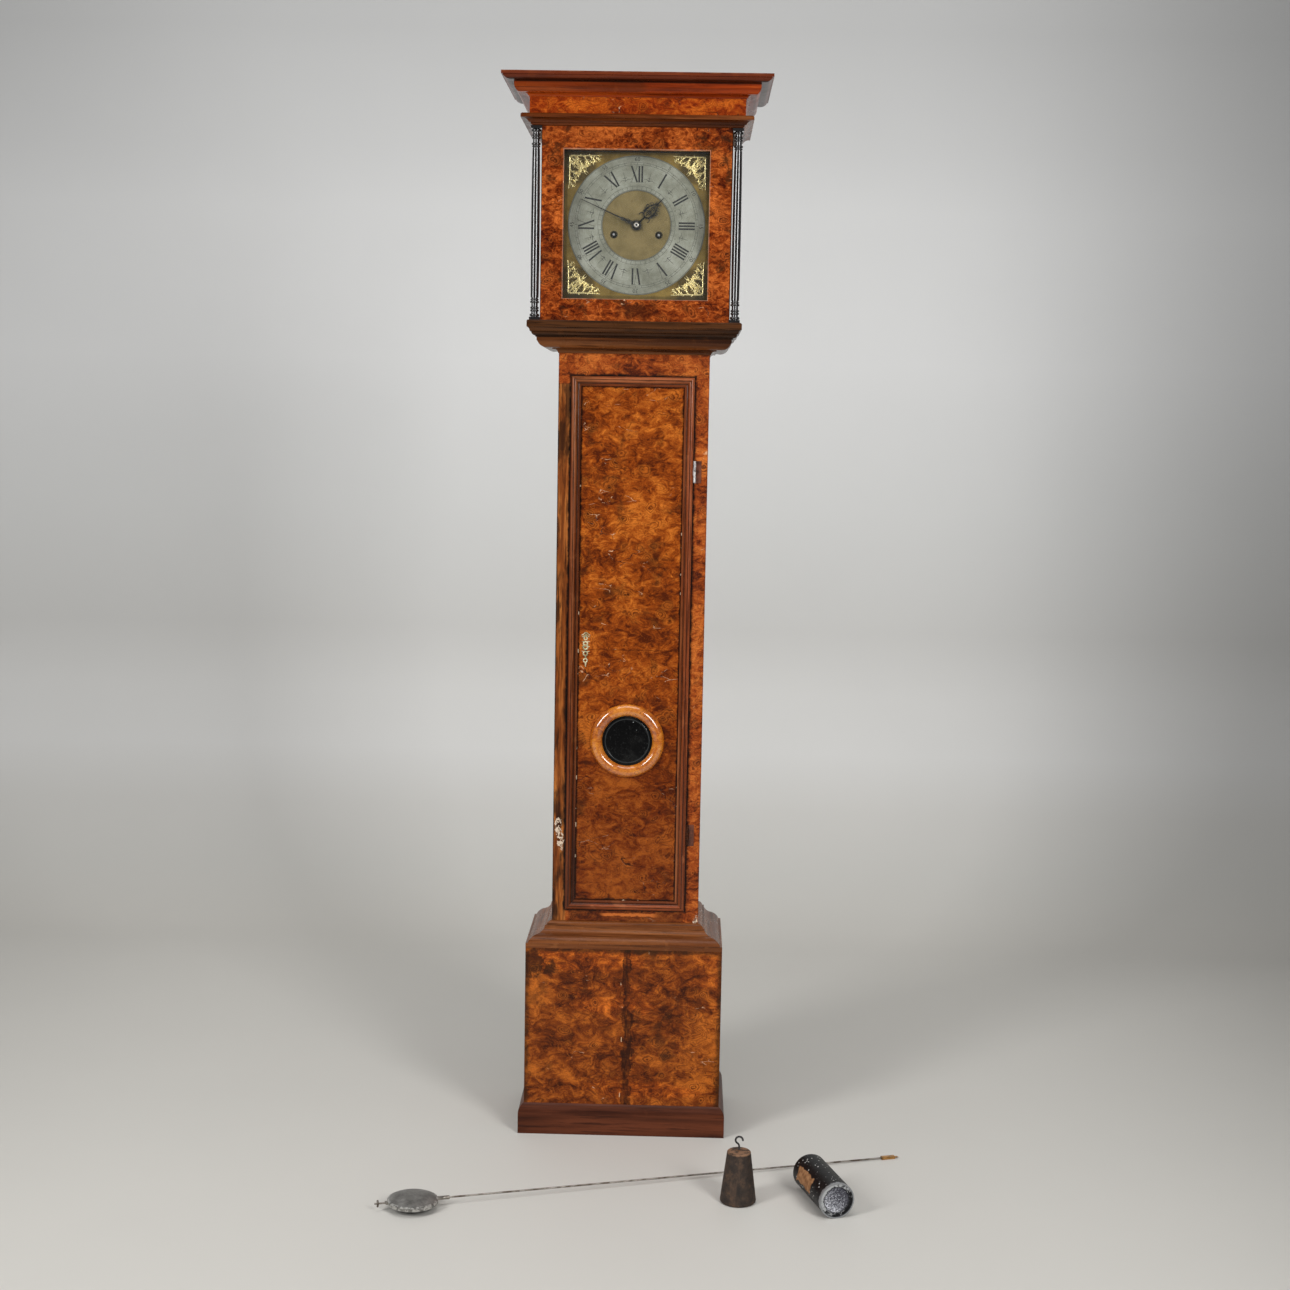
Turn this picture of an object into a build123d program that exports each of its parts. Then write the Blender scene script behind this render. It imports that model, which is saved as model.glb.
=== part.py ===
from build123d import *
from math import atan2, cos, degrees, hypot, pi, radians, sin
import os

# Longcase clock: veneered case with a sliding hood, eight-day striking movement,
# pendulum and weights laid out on the floor in front of it.
# Millimetres, +Z up, the front faces -Y, origin at the middle of the plinth's underside.

# Clearances
glue_line = 0.1        # between boards that are glued edge to edge
sliding_gap = 0.3      # between a moving wooden piece and its seat
running_gap = 0.05     # round a pin or a pivot that turns
seat_gap = 0.02        # round a wheel or a hand that is fixed on its arbor
end_shake = 0.3        # between an arbor's shoulder and its plate

# Case widths, taken across the front
trunk_width = 288.5
base_width = 384.0
hood_width = 358.0         # across the hood's sides, under its mouldings
hood_top_width = 384.0     # the board that carries the architrave moulding
frieze_width = 401.0

# Case depths
trunk_front = -60.0
case_back = 118.0

# Case heights
plinth_top = 59.5
base_top = 372.0
base_moulding_top = 416.0
throat_bottom = 1524.0
trunk_top = 1552.0
hood_sill_top = 1583.0
architrave_bottom = 1940.0
frieze_bottom = 1960.0
frieze_top = 1992.0
cornice_top = 2030.0

# Board thicknesses
trunk_board = 14.0
front_board = 16.0
base_board = 14.0
back_board = 12.0
hood_board = 14.0
floor_board = 14.0
trunk_foot = 330.0         # lower end of the trunk's boards, inside the base

# Mouldings: how far each one stands out from the boards that carry it
plinth_reach = 10.9
base_moulding_reach = 47.75
throat_reach = 40.0
hood_base_reach = 23.0
architrave_reach = 24.0
cornice_reach = 49.0

# Trunk door
door_left = -119.0
door_right = 116.0
door_bottom = 440.0
door_top = 1481.0
door_lap = 10.0            # how far the edge moulding laps over the opening
door_fit = 1.2             # round the panel, inside the opening
door_panel = 16.0
door_moulding_width = 18.5
door_moulding_height = 9.0
door_edge_height = 4.0
trunk_hinge_radius = 3.0
trunk_hinge_pin = 1.25
trunk_hinge_length = 42.0
trunk_hinge_heights = (592.0, 1302.0)
hinge_leaf = 1.2
hinge_leaf_width = 13.0

# Lenticle
lenticle_height = 777.0
lenticle_outer = 72.0
lenticle_inner = 49.0
lenticle_rise = 11.0
lenticle_glass_radius = 54.0
lenticle_glass_thickness = 3.0

# Lock and escutcheon
lock_x = -85.0
lock_height = 955.0
lock_length = 45.0
lock_tall = 65.0
lock_depth = 10.0
bolt_height = 13.0
bolt_thickness = 5.0
bolt_length = 24.0
bolt_travel = 8.0
bolt_slot_gap = 0.4
escutcheon_width = 17.0
escutcheon_height = 69.0
escutcheon_thickness = 1.5
keyhole_radius = 3.0

# Hood door and its columns
hood_door_width = 354.0
hood_door_thickness = 14.0
hood_opening_width = 272.0
hood_opening_height = 274.0
hood_opening_centre = 1761.0
hood_glass_margin = 5.0
hood_glass_thickness = 2.5
column_radius = 9.5
column_shaft_radius = 7.6
column_pin_radius = 1.5
column_pin_length = 6.0
column_block = 5.0
window_front = -58.0
window_back = 84.0
window_bottom = 1622.0
window_top = 1900.0
slide_rail_height = 13.7
runner_height = 12.0
runner_depth_start = -40.0
runner_depth_end = 100.0

# Dial
dial_height = 1764.0
dial_size = 279.4
dial_front = -70.0
dial_thickness = 2.5
chapter_outer = 129.5
chapter_inner = 64.5
chapter_thickness = 1.6
spandrel_size = 58.0
spandrel_thickness = 2.0
spandrel_margin = 4.0
mask_thickness = 6.0
mask_reveal = 0.5
winding_x = 42.5
winding_drop = 17.5
winding_hole = 6.0
winding_square = 5.4

# Hands
hand_thickness = 1.2
hour_hand_length = 72.0
minute_hand_length = 115.0
minute_hand_angle = 294.0      # clockwise from twelve
hour_hand_angle = 45.0

# Movement frame
plate_half_width = 82.0
plate_below = 80.0             # from the dial centre down to the seat board
plate_above = 92.0
plate_thickness = 3.0
front_plate_y = -30.0          # front face of the front plate
plate_distance = 63.0          # between the plates
pillar_radius = 5.0
pillar_x = 74.0
pillar_low = -70.0
pillar_high = 82.0
dial_foot_radius = 4.0
dial_foot_x = 60.0
dial_foot_z = 62.0
seat_board_thickness = 18.0
seat_board_half = 152.0

# Going train: tooth counts and arbor places, as (x, z) from the dial centre
great_teeth = 96
centre_pinion_leaves = 8
centre_teeth = 60
third_pinion_leaves = 8
third_teeth = 56
escape_pinion_leaves = 7
escape_teeth = 30
centre_to_third = 27.2
third_to_escape = 23.6
third_direction = 55.0
escape_direction = 113.9
escape_radius = 19.5
anchor_rise = 27.5

# Striking train
strike_great_teeth = 78
pin_pinion_leaves = 8
pin_teeth = 56
hoop_pinion_leaves = 7
hoop_teeth = 56
warning_pinion_leaves = 7
warning_teeth = 49
fly_pinion_leaves = 7
strike_to_pin = 39.1
pin_to_hoop = 23.6
hoop_to_warning = 20.5
warning_to_fly = 16.8
pin_direction = 83.4
hoop_direction = 42.6
warning_direction = 147.9
fly_direction = 135.5
lifting_pins = 8
lifting_pin_circle = 17.0

# Motion work
cannon_teeth = 40
minute_pinion_leaves = 6
hour_teeth = 72
motion_distance = 27.0

# Wheel and arbor sizes
wheel_thickness = 2.0
great_thickness = 3.0
barrel_radius = 19.0
barrel_flange = 20.3
barrel_arbor_radius = 3.5
centre_arbor_radius = 1.8
slow_arbor_radius = 1.6        # third wheel and pin wheel
quick_arbor_radius = 1.3       # escape wheel and hoop wheel
warning_arbor_radius = 1.1
fly_arbor_radius = 1.0
anchor_arbor_radius = 2.0
hammer_arbor_radius = 1.8
pivot_radius = 0.8
motion_stud_radius = 0.9
cannon_pipe = 3.0
hour_pipe = 4.5

# Tooth shapes: height over and depth under the pitch circle in modules, then the half
# width at the root, at the pitch circle and at the tip as shares of the tooth's step
wheel_tooth = (0.8, 1.25, 0.28, 0.20, 0.10)
pinion_leaf = (0.5, 1.3, 0.16, 0.16, 0.09)

# Bell and hammer
bell_radius = 50.0
bell_rise = 38.0
bell_wall = 2.5
bell_lift = 101.0              # rim above the dial centre
bell_y = -12.0
hammer_x = -66.0
hammer_z = 30.0
hammer_head_radius = 6.0
hammer_head_length = 13.0

# Pendulum on the floor
pendulum_bob_x = -356.0
pendulum_bob_y = -492.0
pendulum_direction = 18.3
bob_radius = 45.0
bob_half_thickness = 14.0
rod_radius = 1.6
rod_length = 905.0             # from the bob's centre to the brass block
block_length = 27.0
block_width = 8.0
block_thickness = 5.0
holder_length = 58.0
holder_width = 10.0
holder_thickness = 3.0
bob_rim = 6.0
rating_screw_length = 68.0
rating_nut_radius = 7.0
rating_nut_thickness = 3.5
rating_nut_place = 64.0

# Weights on the floor
cone_x = 223.0
cone_y = -424.0
cone_bottom_radius = 32.5
cone_top_radius = 21.5
cone_height = 94.0
hook_wire = 1.7
hook_bend = 6.5
hook_height = 28.5
hook_offset_turn = 60.0        # from the shank out to the side of the bend
hook_round_turn = 250.0        # of the open bend
hook_depth = 6.0               # of its shank in the weight
hook_hole_gap = 0.4            # round the shank
tube_x = 396.0
tube_y = -489.0
tube_direction = 106.6
tube_radius = 32.5
tube_length = 142.0
tube_wall = 2.5
tube_recess = 3.0
tube_cap = 3.0


# Worked-out places
trunk_half = trunk_width / 2
base_half = base_width / 2
hood_half = hood_width / 2
hood_top_half = hood_top_width / 2
frieze_half = frieze_width / 2
# Every moulding stands out as far at the front as at the sides, so a carcass of
# half width w has its front this far forward of the trunk's.
base_front = trunk_front - (base_half - trunk_half)
hood_front = trunk_front - (hood_half - trunk_half)
hood_top_front = trunk_front - (hood_top_half - trunk_half)
frieze_front = trunk_front - (frieze_half - trunk_half)
trunk_inner = trunk_half - trunk_board
hood_inner = hood_half - hood_board
back_inner = case_back - back_board
hood_bottom = trunk_top + sliding_gap
door_middle = (door_left + door_right) / 2
opening_left = door_left + door_lap
opening_right = door_right - door_lap
opening_bottom = door_bottom + door_lap
opening_top = door_top - door_lap
panel_front = trunk_front - sliding_gap
trunk_hinge_x = door_right + trunk_hinge_radius + sliding_gap
trunk_hinge_y = trunk_front - trunk_hinge_radius - hinge_leaf + 0.2
bolt_y = panel_front + door_panel - lock_depth + 5.5
hood_door_back = hood_front - sliding_gap
hood_door_bottom = hood_sill_top + sliding_gap
hood_door_top = architrave_bottom - sliding_gap
column_x = hood_door_width / 2 + 2.0 + column_radius
column_y = trunk_front - (column_x - trunk_half)
front_inner_y = front_plate_y + plate_thickness
back_inner_y = front_inner_y + plate_distance
back_plate_y = back_inner_y + plate_thickness
seat_board_top = dial_height - plate_below
seat_board_bottom = seat_board_top - seat_board_thickness
dial_back = dial_front + dial_thickness

os.makedirs("parts", exist_ok=True)


def save(piece, name):
    """Label a finished piece and write it."""
    piece.part.label = name
    export_step(piece.part, f"parts/{name}.step")


def board(x, y, z):
    """A straight board between two x, two y and two z values."""
    with Locations(((x[0] + x[1]) / 2, (y[0] + y[1]) / 2, (z[0] + z[1]) / 2)):
        Box(x[1] - x[0], y[1] - y[0], z[1] - z[0])


def both_sides(x, y, z):
    """The same board at the left and at the right."""
    board(x, y, z)
    board((-x[1], -x[0]), y, z)


def facing(x, y, z):
    """A plane that faces the front: its local x and y are the clock's x and z."""
    return Plane(origin=(x, y, z), x_dir=(1, 0, 0), z_dir=(0, -1, 0))


def hand_plane(y, angle):
    """A plane on the dial's centre whose local y points along a hand, clockwise from twelve."""
    turn = radians(angle)
    return Plane(origin=(0, y, dial_height), x_dir=(cos(turn), 0, -sin(turn)), z_dir=(0, -1, 0))


def dial_plane(place, y):
    """A plane that faces the front, centred on a place given from the dial centre."""
    return facing(place[0], y, dial_height + place[1])


def polar(centre, distance, direction):
    """The place at a distance and a direction in degrees from another place."""
    angle = radians(direction)
    return (centre[0] + distance * cos(angle), centre[1] + distance * sin(angle))


def mitred_moulding(profile, half_width, front, reach, low, high):
    """Front strip and two returns of a moulding, mitred at the corners.

    The profile is drawn with its local x going out from the board and its local y up.
    """
    out = half_width + reach
    with BuildPart() as front_strip:
        with BuildSketch(Plane(origin=(out, front, 0), x_dir=(0, -1, 0), z_dir=(-1, 0, 0))):
            profile()
        extrude(amount=2 * out)
        with BuildSketch(Plane.XY.offset(low)):
            Polygon((-half_width + glue_line, front), (half_width - glue_line, front),
                    (out - glue_line, front - reach), (glue_line - out, front - reach), align=None)
        extrude(amount=high - low, mode=Mode.INTERSECT)
    with BuildPart() as right_strip:
        with BuildSketch(Plane(origin=(half_width, case_back, 0), x_dir=(1, 0, 0), z_dir=(0, -1, 0))):
            profile()
        extrude(amount=case_back - front + reach)
        with BuildSketch(Plane.XY.offset(low)):
            Polygon((half_width, front), (out, front - reach), (out, case_back),
                    (half_width, case_back), align=None)
        extrude(amount=high - low, mode=Mode.INTERSECT)
    return [front_strip.part, right_strip.part, right_strip.part.mirror(Plane.YZ)]


# Moulding profiles

def plinth_profile():
    """Flat skirting with a rounded top edge."""
    with BuildLine() as outline:
        Polyline((0, plinth_top), (0, 0), (plinth_reach, 0), (plinth_reach, 40))
        ThreePointArc((plinth_reach, 40), (8.4, 50.5), (0.6, plinth_top))
        Line((0.6, plinth_top), (0, plinth_top))
    make_face(outline.edges())


def base_moulding_profile():
    """Quarter round under the trunk, then a long wave down to a flat fillet."""
    edge = base_moulding_reach
    with BuildLine() as outline:
        Polyline((0, base_moulding_top), (0, base_top), (edge, base_top), (edge, 381), (44, 381))
        ThreePointArc((44, 381), (36, 390.6), (28, 394))
        ThreePointArc((28, 394), (19, 397.6), (13, 405))
        Polyline((13, 405), (13, 408.5), (10, 408.5))
        ThreePointArc((10, 408.5), (6.5, 414), (1, base_moulding_top))
        Line((1, base_moulding_top), (0, base_moulding_top))
    make_face(outline.edges())


def throat_profile():
    """Large ovolo under the hood, a fillet and a small hollow."""
    edge = throat_reach
    with BuildLine() as outline:
        Polyline((0, trunk_top), (0, throat_bottom), (1.5, throat_bottom))
        ThreePointArc((1.5, throat_bottom), (3.5, 1528.6), (8, 1531))
        Polyline((8, 1531), (12, 1531), (12, 1533.5), (17, 1533.5))
        ThreePointArc((17, 1533.5), (33, 1537), (edge - 1, 1545.5))
        Polyline((edge - 1, 1545.5), (edge, 1545.5), (edge, trunk_top), (0, trunk_top))
    make_face(outline.edges())


def hood_base_profile():
    """Flat band with a wave moulding under it, at the foot of the hood."""
    edge = hood_base_reach
    with BuildLine() as outline:
        Polyline((0, hood_sill_top), (0, hood_bottom), (7.5, hood_bottom), (7.5, 1555))
        ThreePointArc((7.5, 1555), (13.4, 1557.3), (14.5, 1562))
        Line((14.5, 1562), (17.5, 1562))
        ThreePointArc((17.5, 1562), (18.6, 1566.6), (edge - 1, 1570))
        Polyline((edge - 1, 1570), (edge, 1570), (edge, 1581))
        Polyline((edge, 1581), (edge - 2, hood_sill_top), (0, hood_sill_top))
    make_face(outline.edges())


def architrave_profile():
    """Fillet, hollow and bead over the hood door."""
    edge = architrave_reach
    with BuildLine() as outline:
        Polyline((0, frieze_bottom), (0, architrave_bottom), (2, architrave_bottom))
        ThreePointArc((2, architrave_bottom), (5.6, 1941.6), (7, 1945))
        Line((7, 1945), (9.5, 1945))
        ThreePointArc((9.5, 1945), (14.2, 1950), (21, 1952))
        Polyline((21, 1952), (edge, 1952), (edge, 1957.5))
        Polyline((edge, 1957.5), (edge - 2.5, frieze_bottom), (0, frieze_bottom))
    make_face(outline.edges())


def cornice_profile():
    """Top fillet, hollow, flat band, ovolo and a small hollow down to the frieze."""
    edge = cornice_reach
    with BuildLine() as outline:
        Polyline((0, cornice_top), (edge, cornice_top), (edge, 2024), (46, 2024), (46, 2022))
        ThreePointArc((46, 2022), (40, 2017.6), (31, 2016.5))
        Polyline((31, 2016.5), (27, 2016.5), (27, 2010.5))
        ThreePointArc((27, 2010.5), (25.4, 2003), (20, 1997))
        Line((20, 1997), (9, 1997))
        ThreePointArc((9, 1997), (4.4, 1995.4), (2, frieze_top))
        Polyline((2, frieze_top), (0, frieze_top), (0, cornice_top))
    make_face(outline.edges())


# Plinth moulding
plinth_strips = mitred_moulding(plinth_profile, base_half, base_front, plinth_reach, 0, plinth_top)
with BuildPart() as plinth_moulding:
    add(plinth_strips)
save(plinth_moulding, "plinth_moulding")

# Base: one veneered front panel, two sides and a floor board
with BuildPart() as base_front_panel:
    board((-base_half, base_half), (base_front, base_front + front_board), (0, base_top))
save(base_front_panel, "base_front_panel")

base_sides_front = base_front + front_board + glue_line
with BuildPart() as base_carcass:
    both_sides((base_half - base_board, base_half), (base_sides_front, case_back), (0, base_top))
    board((glue_line - base_half + base_board, base_half - base_board - glue_line),
          (base_sides_front, back_inner - glue_line),
          (0, floor_board))
save(base_carcass, "base_carcass")

# Backboard: one plank with wider cheeks behind the base and behind the hood
ear_half = hood_inner - 0.5
ear_top = architrave_bottom - 2.0
with BuildPart() as backboard:
    with BuildSketch(facing(0, case_back, 0)):
        with Locations((0, base_top / 2)):
            Rectangle(2 * (base_half - base_board) - 2 * glue_line, base_top)
        with Locations((0, (base_top + trunk_top) / 2)):
            Rectangle(trunk_width, trunk_top - base_top)
        with Locations((0, (trunk_top + ear_top) / 2)):
            Rectangle(2 * ear_half, ear_top - trunk_top)
    extrude(amount=back_board)
save(backboard, "backboard")

# Trunk sides, which run up inside the hood as the cheeks under the seat board
cheek_front = trunk_front + front_board
with BuildPart() as trunk_side_boards:
    both_sides((trunk_inner, trunk_half), (cheek_front, back_inner), (trunk_foot, seat_board_bottom))
save(trunk_side_boards, "trunk_side_boards")

# Trunk front frame: two stiles and two rails round the door opening
mortise_low = lock_height - bolt_height / 2 - bolt_slot_gap
mortise_high = lock_height + bolt_height / 2 + bolt_slot_gap
with BuildPart() as trunk_front_frame:
    frame_y = (trunk_front, cheek_front)
    board((-trunk_half, opening_left), frame_y, (trunk_foot, trunk_top))
    board((opening_right, trunk_half), frame_y, (trunk_foot, trunk_top))
    rail_x = (opening_left + glue_line, opening_right - glue_line)
    board(rail_x, frame_y, (trunk_foot, opening_bottom))
    board(rail_x, frame_y, (opening_top, trunk_top))
    with Locations((opening_left - 6, bolt_y, lock_height)):
        Box(13, bolt_thickness + 2 * bolt_slot_gap, mortise_high - mortise_low, mode=Mode.SUBTRACT)
save(trunk_front_frame, "trunk_front_frame")

# Mouldings round the trunk
base_moulding_strips = mitred_moulding(base_moulding_profile, trunk_half, trunk_front,
                                       base_moulding_reach, base_top, base_moulding_top)
with BuildPart() as base_top_moulding:
    add(base_moulding_strips)
save(base_top_moulding, "base_top_moulding")

throat_strips = mitred_moulding(throat_profile, trunk_half, trunk_front,
                                throat_reach, throat_bottom, trunk_top)
with BuildPart() as throat_moulding:
    add(throat_strips)
save(throat_moulding, "throat_moulding")

# Runners on the cheeks, which hold the hood down on its slides
slide_rail_top = hood_bottom + slide_rail_height
with BuildPart() as hood_runners:
    both_sides((trunk_half, hood_inner - 4), (runner_depth_start, runner_depth_end),
               (slide_rail_top + 0.7, slide_rail_top + 0.7 + runner_height))
save(hood_runners, "hood_runners")

# Seat board with slots for the lines and for the pendulum
with BuildPart() as seat_board:
    board((-seat_board_half, seat_board_half), (cheek_front, back_inner - 2),
          (seat_board_bottom, seat_board_top))
    with Locations((-winding_x, 0, seat_board_top), (winding_x, 0, seat_board_top)):
        Box(46, 38, 3 * seat_board_thickness, mode=Mode.SUBTRACT)
    with Locations((0, back_inner - 20, seat_board_top)):
        Box(64, 60, 3 * seat_board_thickness, mode=Mode.SUBTRACT)
save(seat_board, "seat_board")

# Trunk door: panel, with the lenticle hole, the keyhole and a pocket for the lock
panel_left = opening_left + door_fit
panel_right = opening_right - door_fit
panel_back = panel_front + door_panel
lock_left = panel_left + 0.3
with BuildPart() as trunk_door_panel:
    board((panel_left, panel_right), (panel_front, panel_back),
          (opening_bottom + door_fit, opening_top - door_fit))
    with BuildSketch(facing(door_middle, panel_back, lenticle_height)):
        Circle(lenticle_inner + 3)
    extrude(amount=door_panel, mode=Mode.SUBTRACT)
    with BuildSketch(facing(lock_x, panel_back, lock_height)):
        Circle(keyhole_radius)
        with Locations((0, -keyhole_radius - 2)):
            Rectangle(3, 8)
    extrude(amount=door_panel, mode=Mode.SUBTRACT)
    with Locations((lock_left + lock_length / 2 - 2, panel_back, lock_height)):
        Box(lock_length + 4.6, 2 * lock_depth + 0.6, lock_tall + 0.6, mode=Mode.SUBTRACT)
save(trunk_door_panel, "trunk_door_panel")


def door_moulding_profile():
    """Ovolo between two fillets; local x goes from the door's edge inwards."""
    width = door_moulding_width
    with BuildLine() as outline:
        Polyline((0, 0), (0, door_edge_height), (1.2, door_edge_height), (1.2, door_moulding_height - 2))
        ThreePointArc((1.2, door_moulding_height - 2), (5, door_moulding_height), (10, 6.6))
        ThreePointArc((10, 6.6), (12.4, 3.6), (15, 2.6))
        Polyline((15, 2.6), (15, 3.8), (width, 3.8), (width, 0), (0, 0))
    make_face(outline.edges())


def door_strip(start, length, inwards):
    """One mitred length of the door's edge moulding, running along its outer edge."""
    along = inwards.cross(Vector(0, -1, 0))
    mid = length / 2
    edge = Plane(origin=start - along * mid, x_dir=inwards, z_dir=along)
    with BuildPart() as strip:
        with BuildSketch(edge):
            door_moulding_profile()
        extrude(amount=length)
        with BuildSketch(Plane(origin=start, x_dir=along, z_dir=(0, -1, 0))):
            width = door_moulding_width
            sign = Plane(origin=start, x_dir=along, z_dir=(0, -1, 0)).y_dir.dot(inwards)
            Polygon((glue_line - mid, 0), (mid - glue_line, 0),
                    (mid - width - glue_line, sign * width), (width + glue_line - mid, sign * width),
                    align=None)
        extrude(amount=door_moulding_height, mode=Mode.INTERSECT)
    return strip.part


door_width = door_right - door_left
door_height = door_top - door_bottom
door_centre_z = (door_bottom + door_top) / 2
door_strips = [
    door_strip(Vector(door_left, panel_front, door_centre_z), door_height, Vector(1, 0, 0)),
    door_strip(Vector(door_right, panel_front, door_centre_z), door_height, Vector(-1, 0, 0)),
    door_strip(Vector(door_middle, panel_front, door_bottom), door_width, Vector(0, 0, 1)),
    door_strip(Vector(door_middle, panel_front, door_top), door_width, Vector(0, 0, -1)),
]
with BuildPart() as trunk_door_moulding:
    add(door_strips)
save(trunk_door_moulding, "trunk_door_moulding")

# Lenticle: a turned half-round ring, and the glass behind it
with BuildPart() as lenticle_ring:
    with BuildSketch(Plane(origin=(door_middle, panel_front, lenticle_height),
                           x_dir=(1, 0, 0), z_dir=(0, 0, 1))):
        middle = (lenticle_inner + lenticle_outer) / 2
        with BuildLine():
            Polyline((lenticle_inner, 0), (lenticle_outer, 0), (lenticle_outer, -1.5))
            ThreePointArc((lenticle_outer, -1.5), (middle, -lenticle_rise), (lenticle_inner, -2.5))
            Line((lenticle_inner, -2.5), (lenticle_inner, 0))
        make_face()
    revolve(axis=Axis((door_middle, panel_front, lenticle_height), (0, 1, 0)))
save(lenticle_ring, "lenticle_ring")

with BuildPart() as lenticle_glass:
    with BuildSketch(facing(door_middle, panel_front + lenticle_glass_thickness, lenticle_height)):
        Circle(lenticle_inner + 2.8)
    extrude(amount=lenticle_glass_thickness)
save(lenticle_glass, "lenticle_glass")

# Escutcheon: pierced plate with scrolled ends and a keyhole
with BuildPart() as escutcheon:
    with BuildSketch(facing(lock_x, panel_front, lock_height)):
        half = escutcheon_height / 2
        Ellipse(escutcheon_width / 2, 15)
        for end in (-1, 1):
            with Locations((0, end * 20)):
                Circle(5.2)
            with Locations((0, end * (half - 5.5))):
                Circle(5.5)
            with Locations((-5.5, end * 14), (5.5, end * 14)):
                Circle(3)
            with Locations((0, end * 16)):
                Rectangle(5, 26)
            with Locations((-3, end * 26.5), (3, end * 26.5)):
                Circle(2.6)
        Circle(keyhole_radius, mode=Mode.SUBTRACT)
        with Locations((0, -keyhole_radius - 2)):
            Rectangle(3, 8, mode=Mode.SUBTRACT)
        for end in (-1, 1):
            with Locations((0, end * 20), (0, end * (half - 5.5))):
                Circle(1.8, mode=Mode.SUBTRACT)
    extrude(amount=escutcheon_thickness)
save(escutcheon, "escutcheon")

# Lock case, let into the back of the door, with a slot for its bolt
with BuildPart() as lock_case:
    board((lock_left, lock_left + lock_length), (panel_back - lock_depth, panel_back + 2),
          (lock_height - lock_tall / 2, lock_height + lock_tall / 2))
    with Locations((lock_left + (bolt_length + bolt_travel) / 2, bolt_y, lock_height)):
        Box(bolt_length + bolt_travel + 4, bolt_thickness + 2 * bolt_slot_gap,
            bolt_height + 2 * bolt_slot_gap, mode=Mode.SUBTRACT)
save(lock_case, "lock_case")

with BuildPart() as lock_bolt:
    board((lock_left + 0.2, lock_left + 0.2 + bolt_length),
          (bolt_y - bolt_thickness / 2, bolt_y + bolt_thickness / 2),
          (lock_height - bolt_height / 2, lock_height + bolt_height / 2))
save(lock_bolt, "lock_bolt")


def hinge_barrel(low, high, radius, hole):
    """A length of hinge barrel on the trunk door's pin line."""
    with BuildSketch(Plane.XY.offset(low)) as section:
        with Locations((trunk_hinge_x, trunk_hinge_y)):
            Circle(radius)
            if hole:
                Circle(hole, mode=Mode.SUBTRACT)
    extrude(section.sketch, amount=high - low)


# Trunk hinges: end knuckles, pin and leaf on the stile; middle knuckle and leaf on the door
knuckle = trunk_hinge_length / 3
with BuildPart() as trunk_hinge_frame_leaves:
    for height in trunk_hinge_heights:
        low = height - trunk_hinge_length / 2
        high = height + trunk_hinge_length / 2
        hinge_barrel(low, low + knuckle, trunk_hinge_radius, 0)
        hinge_barrel(high - knuckle, high, trunk_hinge_radius, 0)
        hinge_barrel(low, high, trunk_hinge_pin, 0)
        for start in (low, high - knuckle):
            board((trunk_hinge_x, trunk_hinge_x + hinge_leaf_width),
                  (trunk_front - hinge_leaf, trunk_front), (start, start + knuckle))
        board((trunk_hinge_x + trunk_hinge_radius + 1, trunk_hinge_x + hinge_leaf_width),
              (trunk_front - hinge_leaf, trunk_front), (low, high))
save(trunk_hinge_frame_leaves, "trunk_hinge_frame_leaves")

with BuildPart() as trunk_hinge_door_leaves:
    for height in trunk_hinge_heights:
        low = height - knuckle / 2 + sliding_gap
        high = height + knuckle / 2 - sliding_gap
        hinge_barrel(low, high, trunk_hinge_radius, trunk_hinge_pin + running_gap)
        board((door_right, door_right + hinge_leaf), (trunk_hinge_y - 1.2, trunk_hinge_y + 1.2), (low, high))
        board((door_right, door_right + 0.25), (panel_front - 3.9, panel_front - 0.4), (low, high))
save(trunk_hinge_door_leaves, "trunk_hinge_door_leaves")

# Hood carcass: glazed side frames, front sill, top rail and the slides under the sides
slide_back = back_inner - 0.5
with BuildPart() as hood_frame:
    side_x = (hood_inner, hood_half)
    side_rail_y = (window_front + glue_line, window_back - glue_line)
    both_sides(side_x, (hood_front, window_front), (hood_bottom, architrave_bottom))
    both_sides(side_x, (window_back, case_back), (hood_bottom, architrave_bottom))
    both_sides(side_x, side_rail_y, (hood_bottom, window_bottom))
    both_sides(side_x, side_rail_y, (window_top, architrave_bottom))
    rail_half = hood_inner - glue_line
    rail_back = hood_front + 15
    board((-rail_half, rail_half), (hood_front, rail_back), (hood_bottom, hood_sill_top))
    board((-rail_half, rail_half), (hood_front, rail_back), (1925, architrave_bottom))
    both_sides((trunk_half + 2.5, rail_half), (rail_back + glue_line, slide_back),
               (hood_bottom, slide_rail_top))
save(hood_frame, "hood_frame")

with BuildPart() as hood_side_glass:
    both_sides((hood_inner + 5, hood_inner + 5 + hood_glass_thickness),
               (window_front + glue_line, window_back - glue_line),
               (window_bottom + glue_line, window_top - glue_line))
save(hood_side_glass, "hood_side_glass")

hood_base_strips = mitred_moulding(hood_base_profile, hood_half, hood_front,
                                   hood_base_reach, hood_bottom, hood_sill_top)
with BuildPart() as hood_base_moulding:
    add(hood_base_strips)
    with Locations((column_x, column_y, hood_sill_top)):
        Cylinder(column_pin_radius + running_gap, 2 * column_pin_length + 1, mode=Mode.SUBTRACT)
save(hood_base_moulding, "hood_base_moulding")

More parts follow.
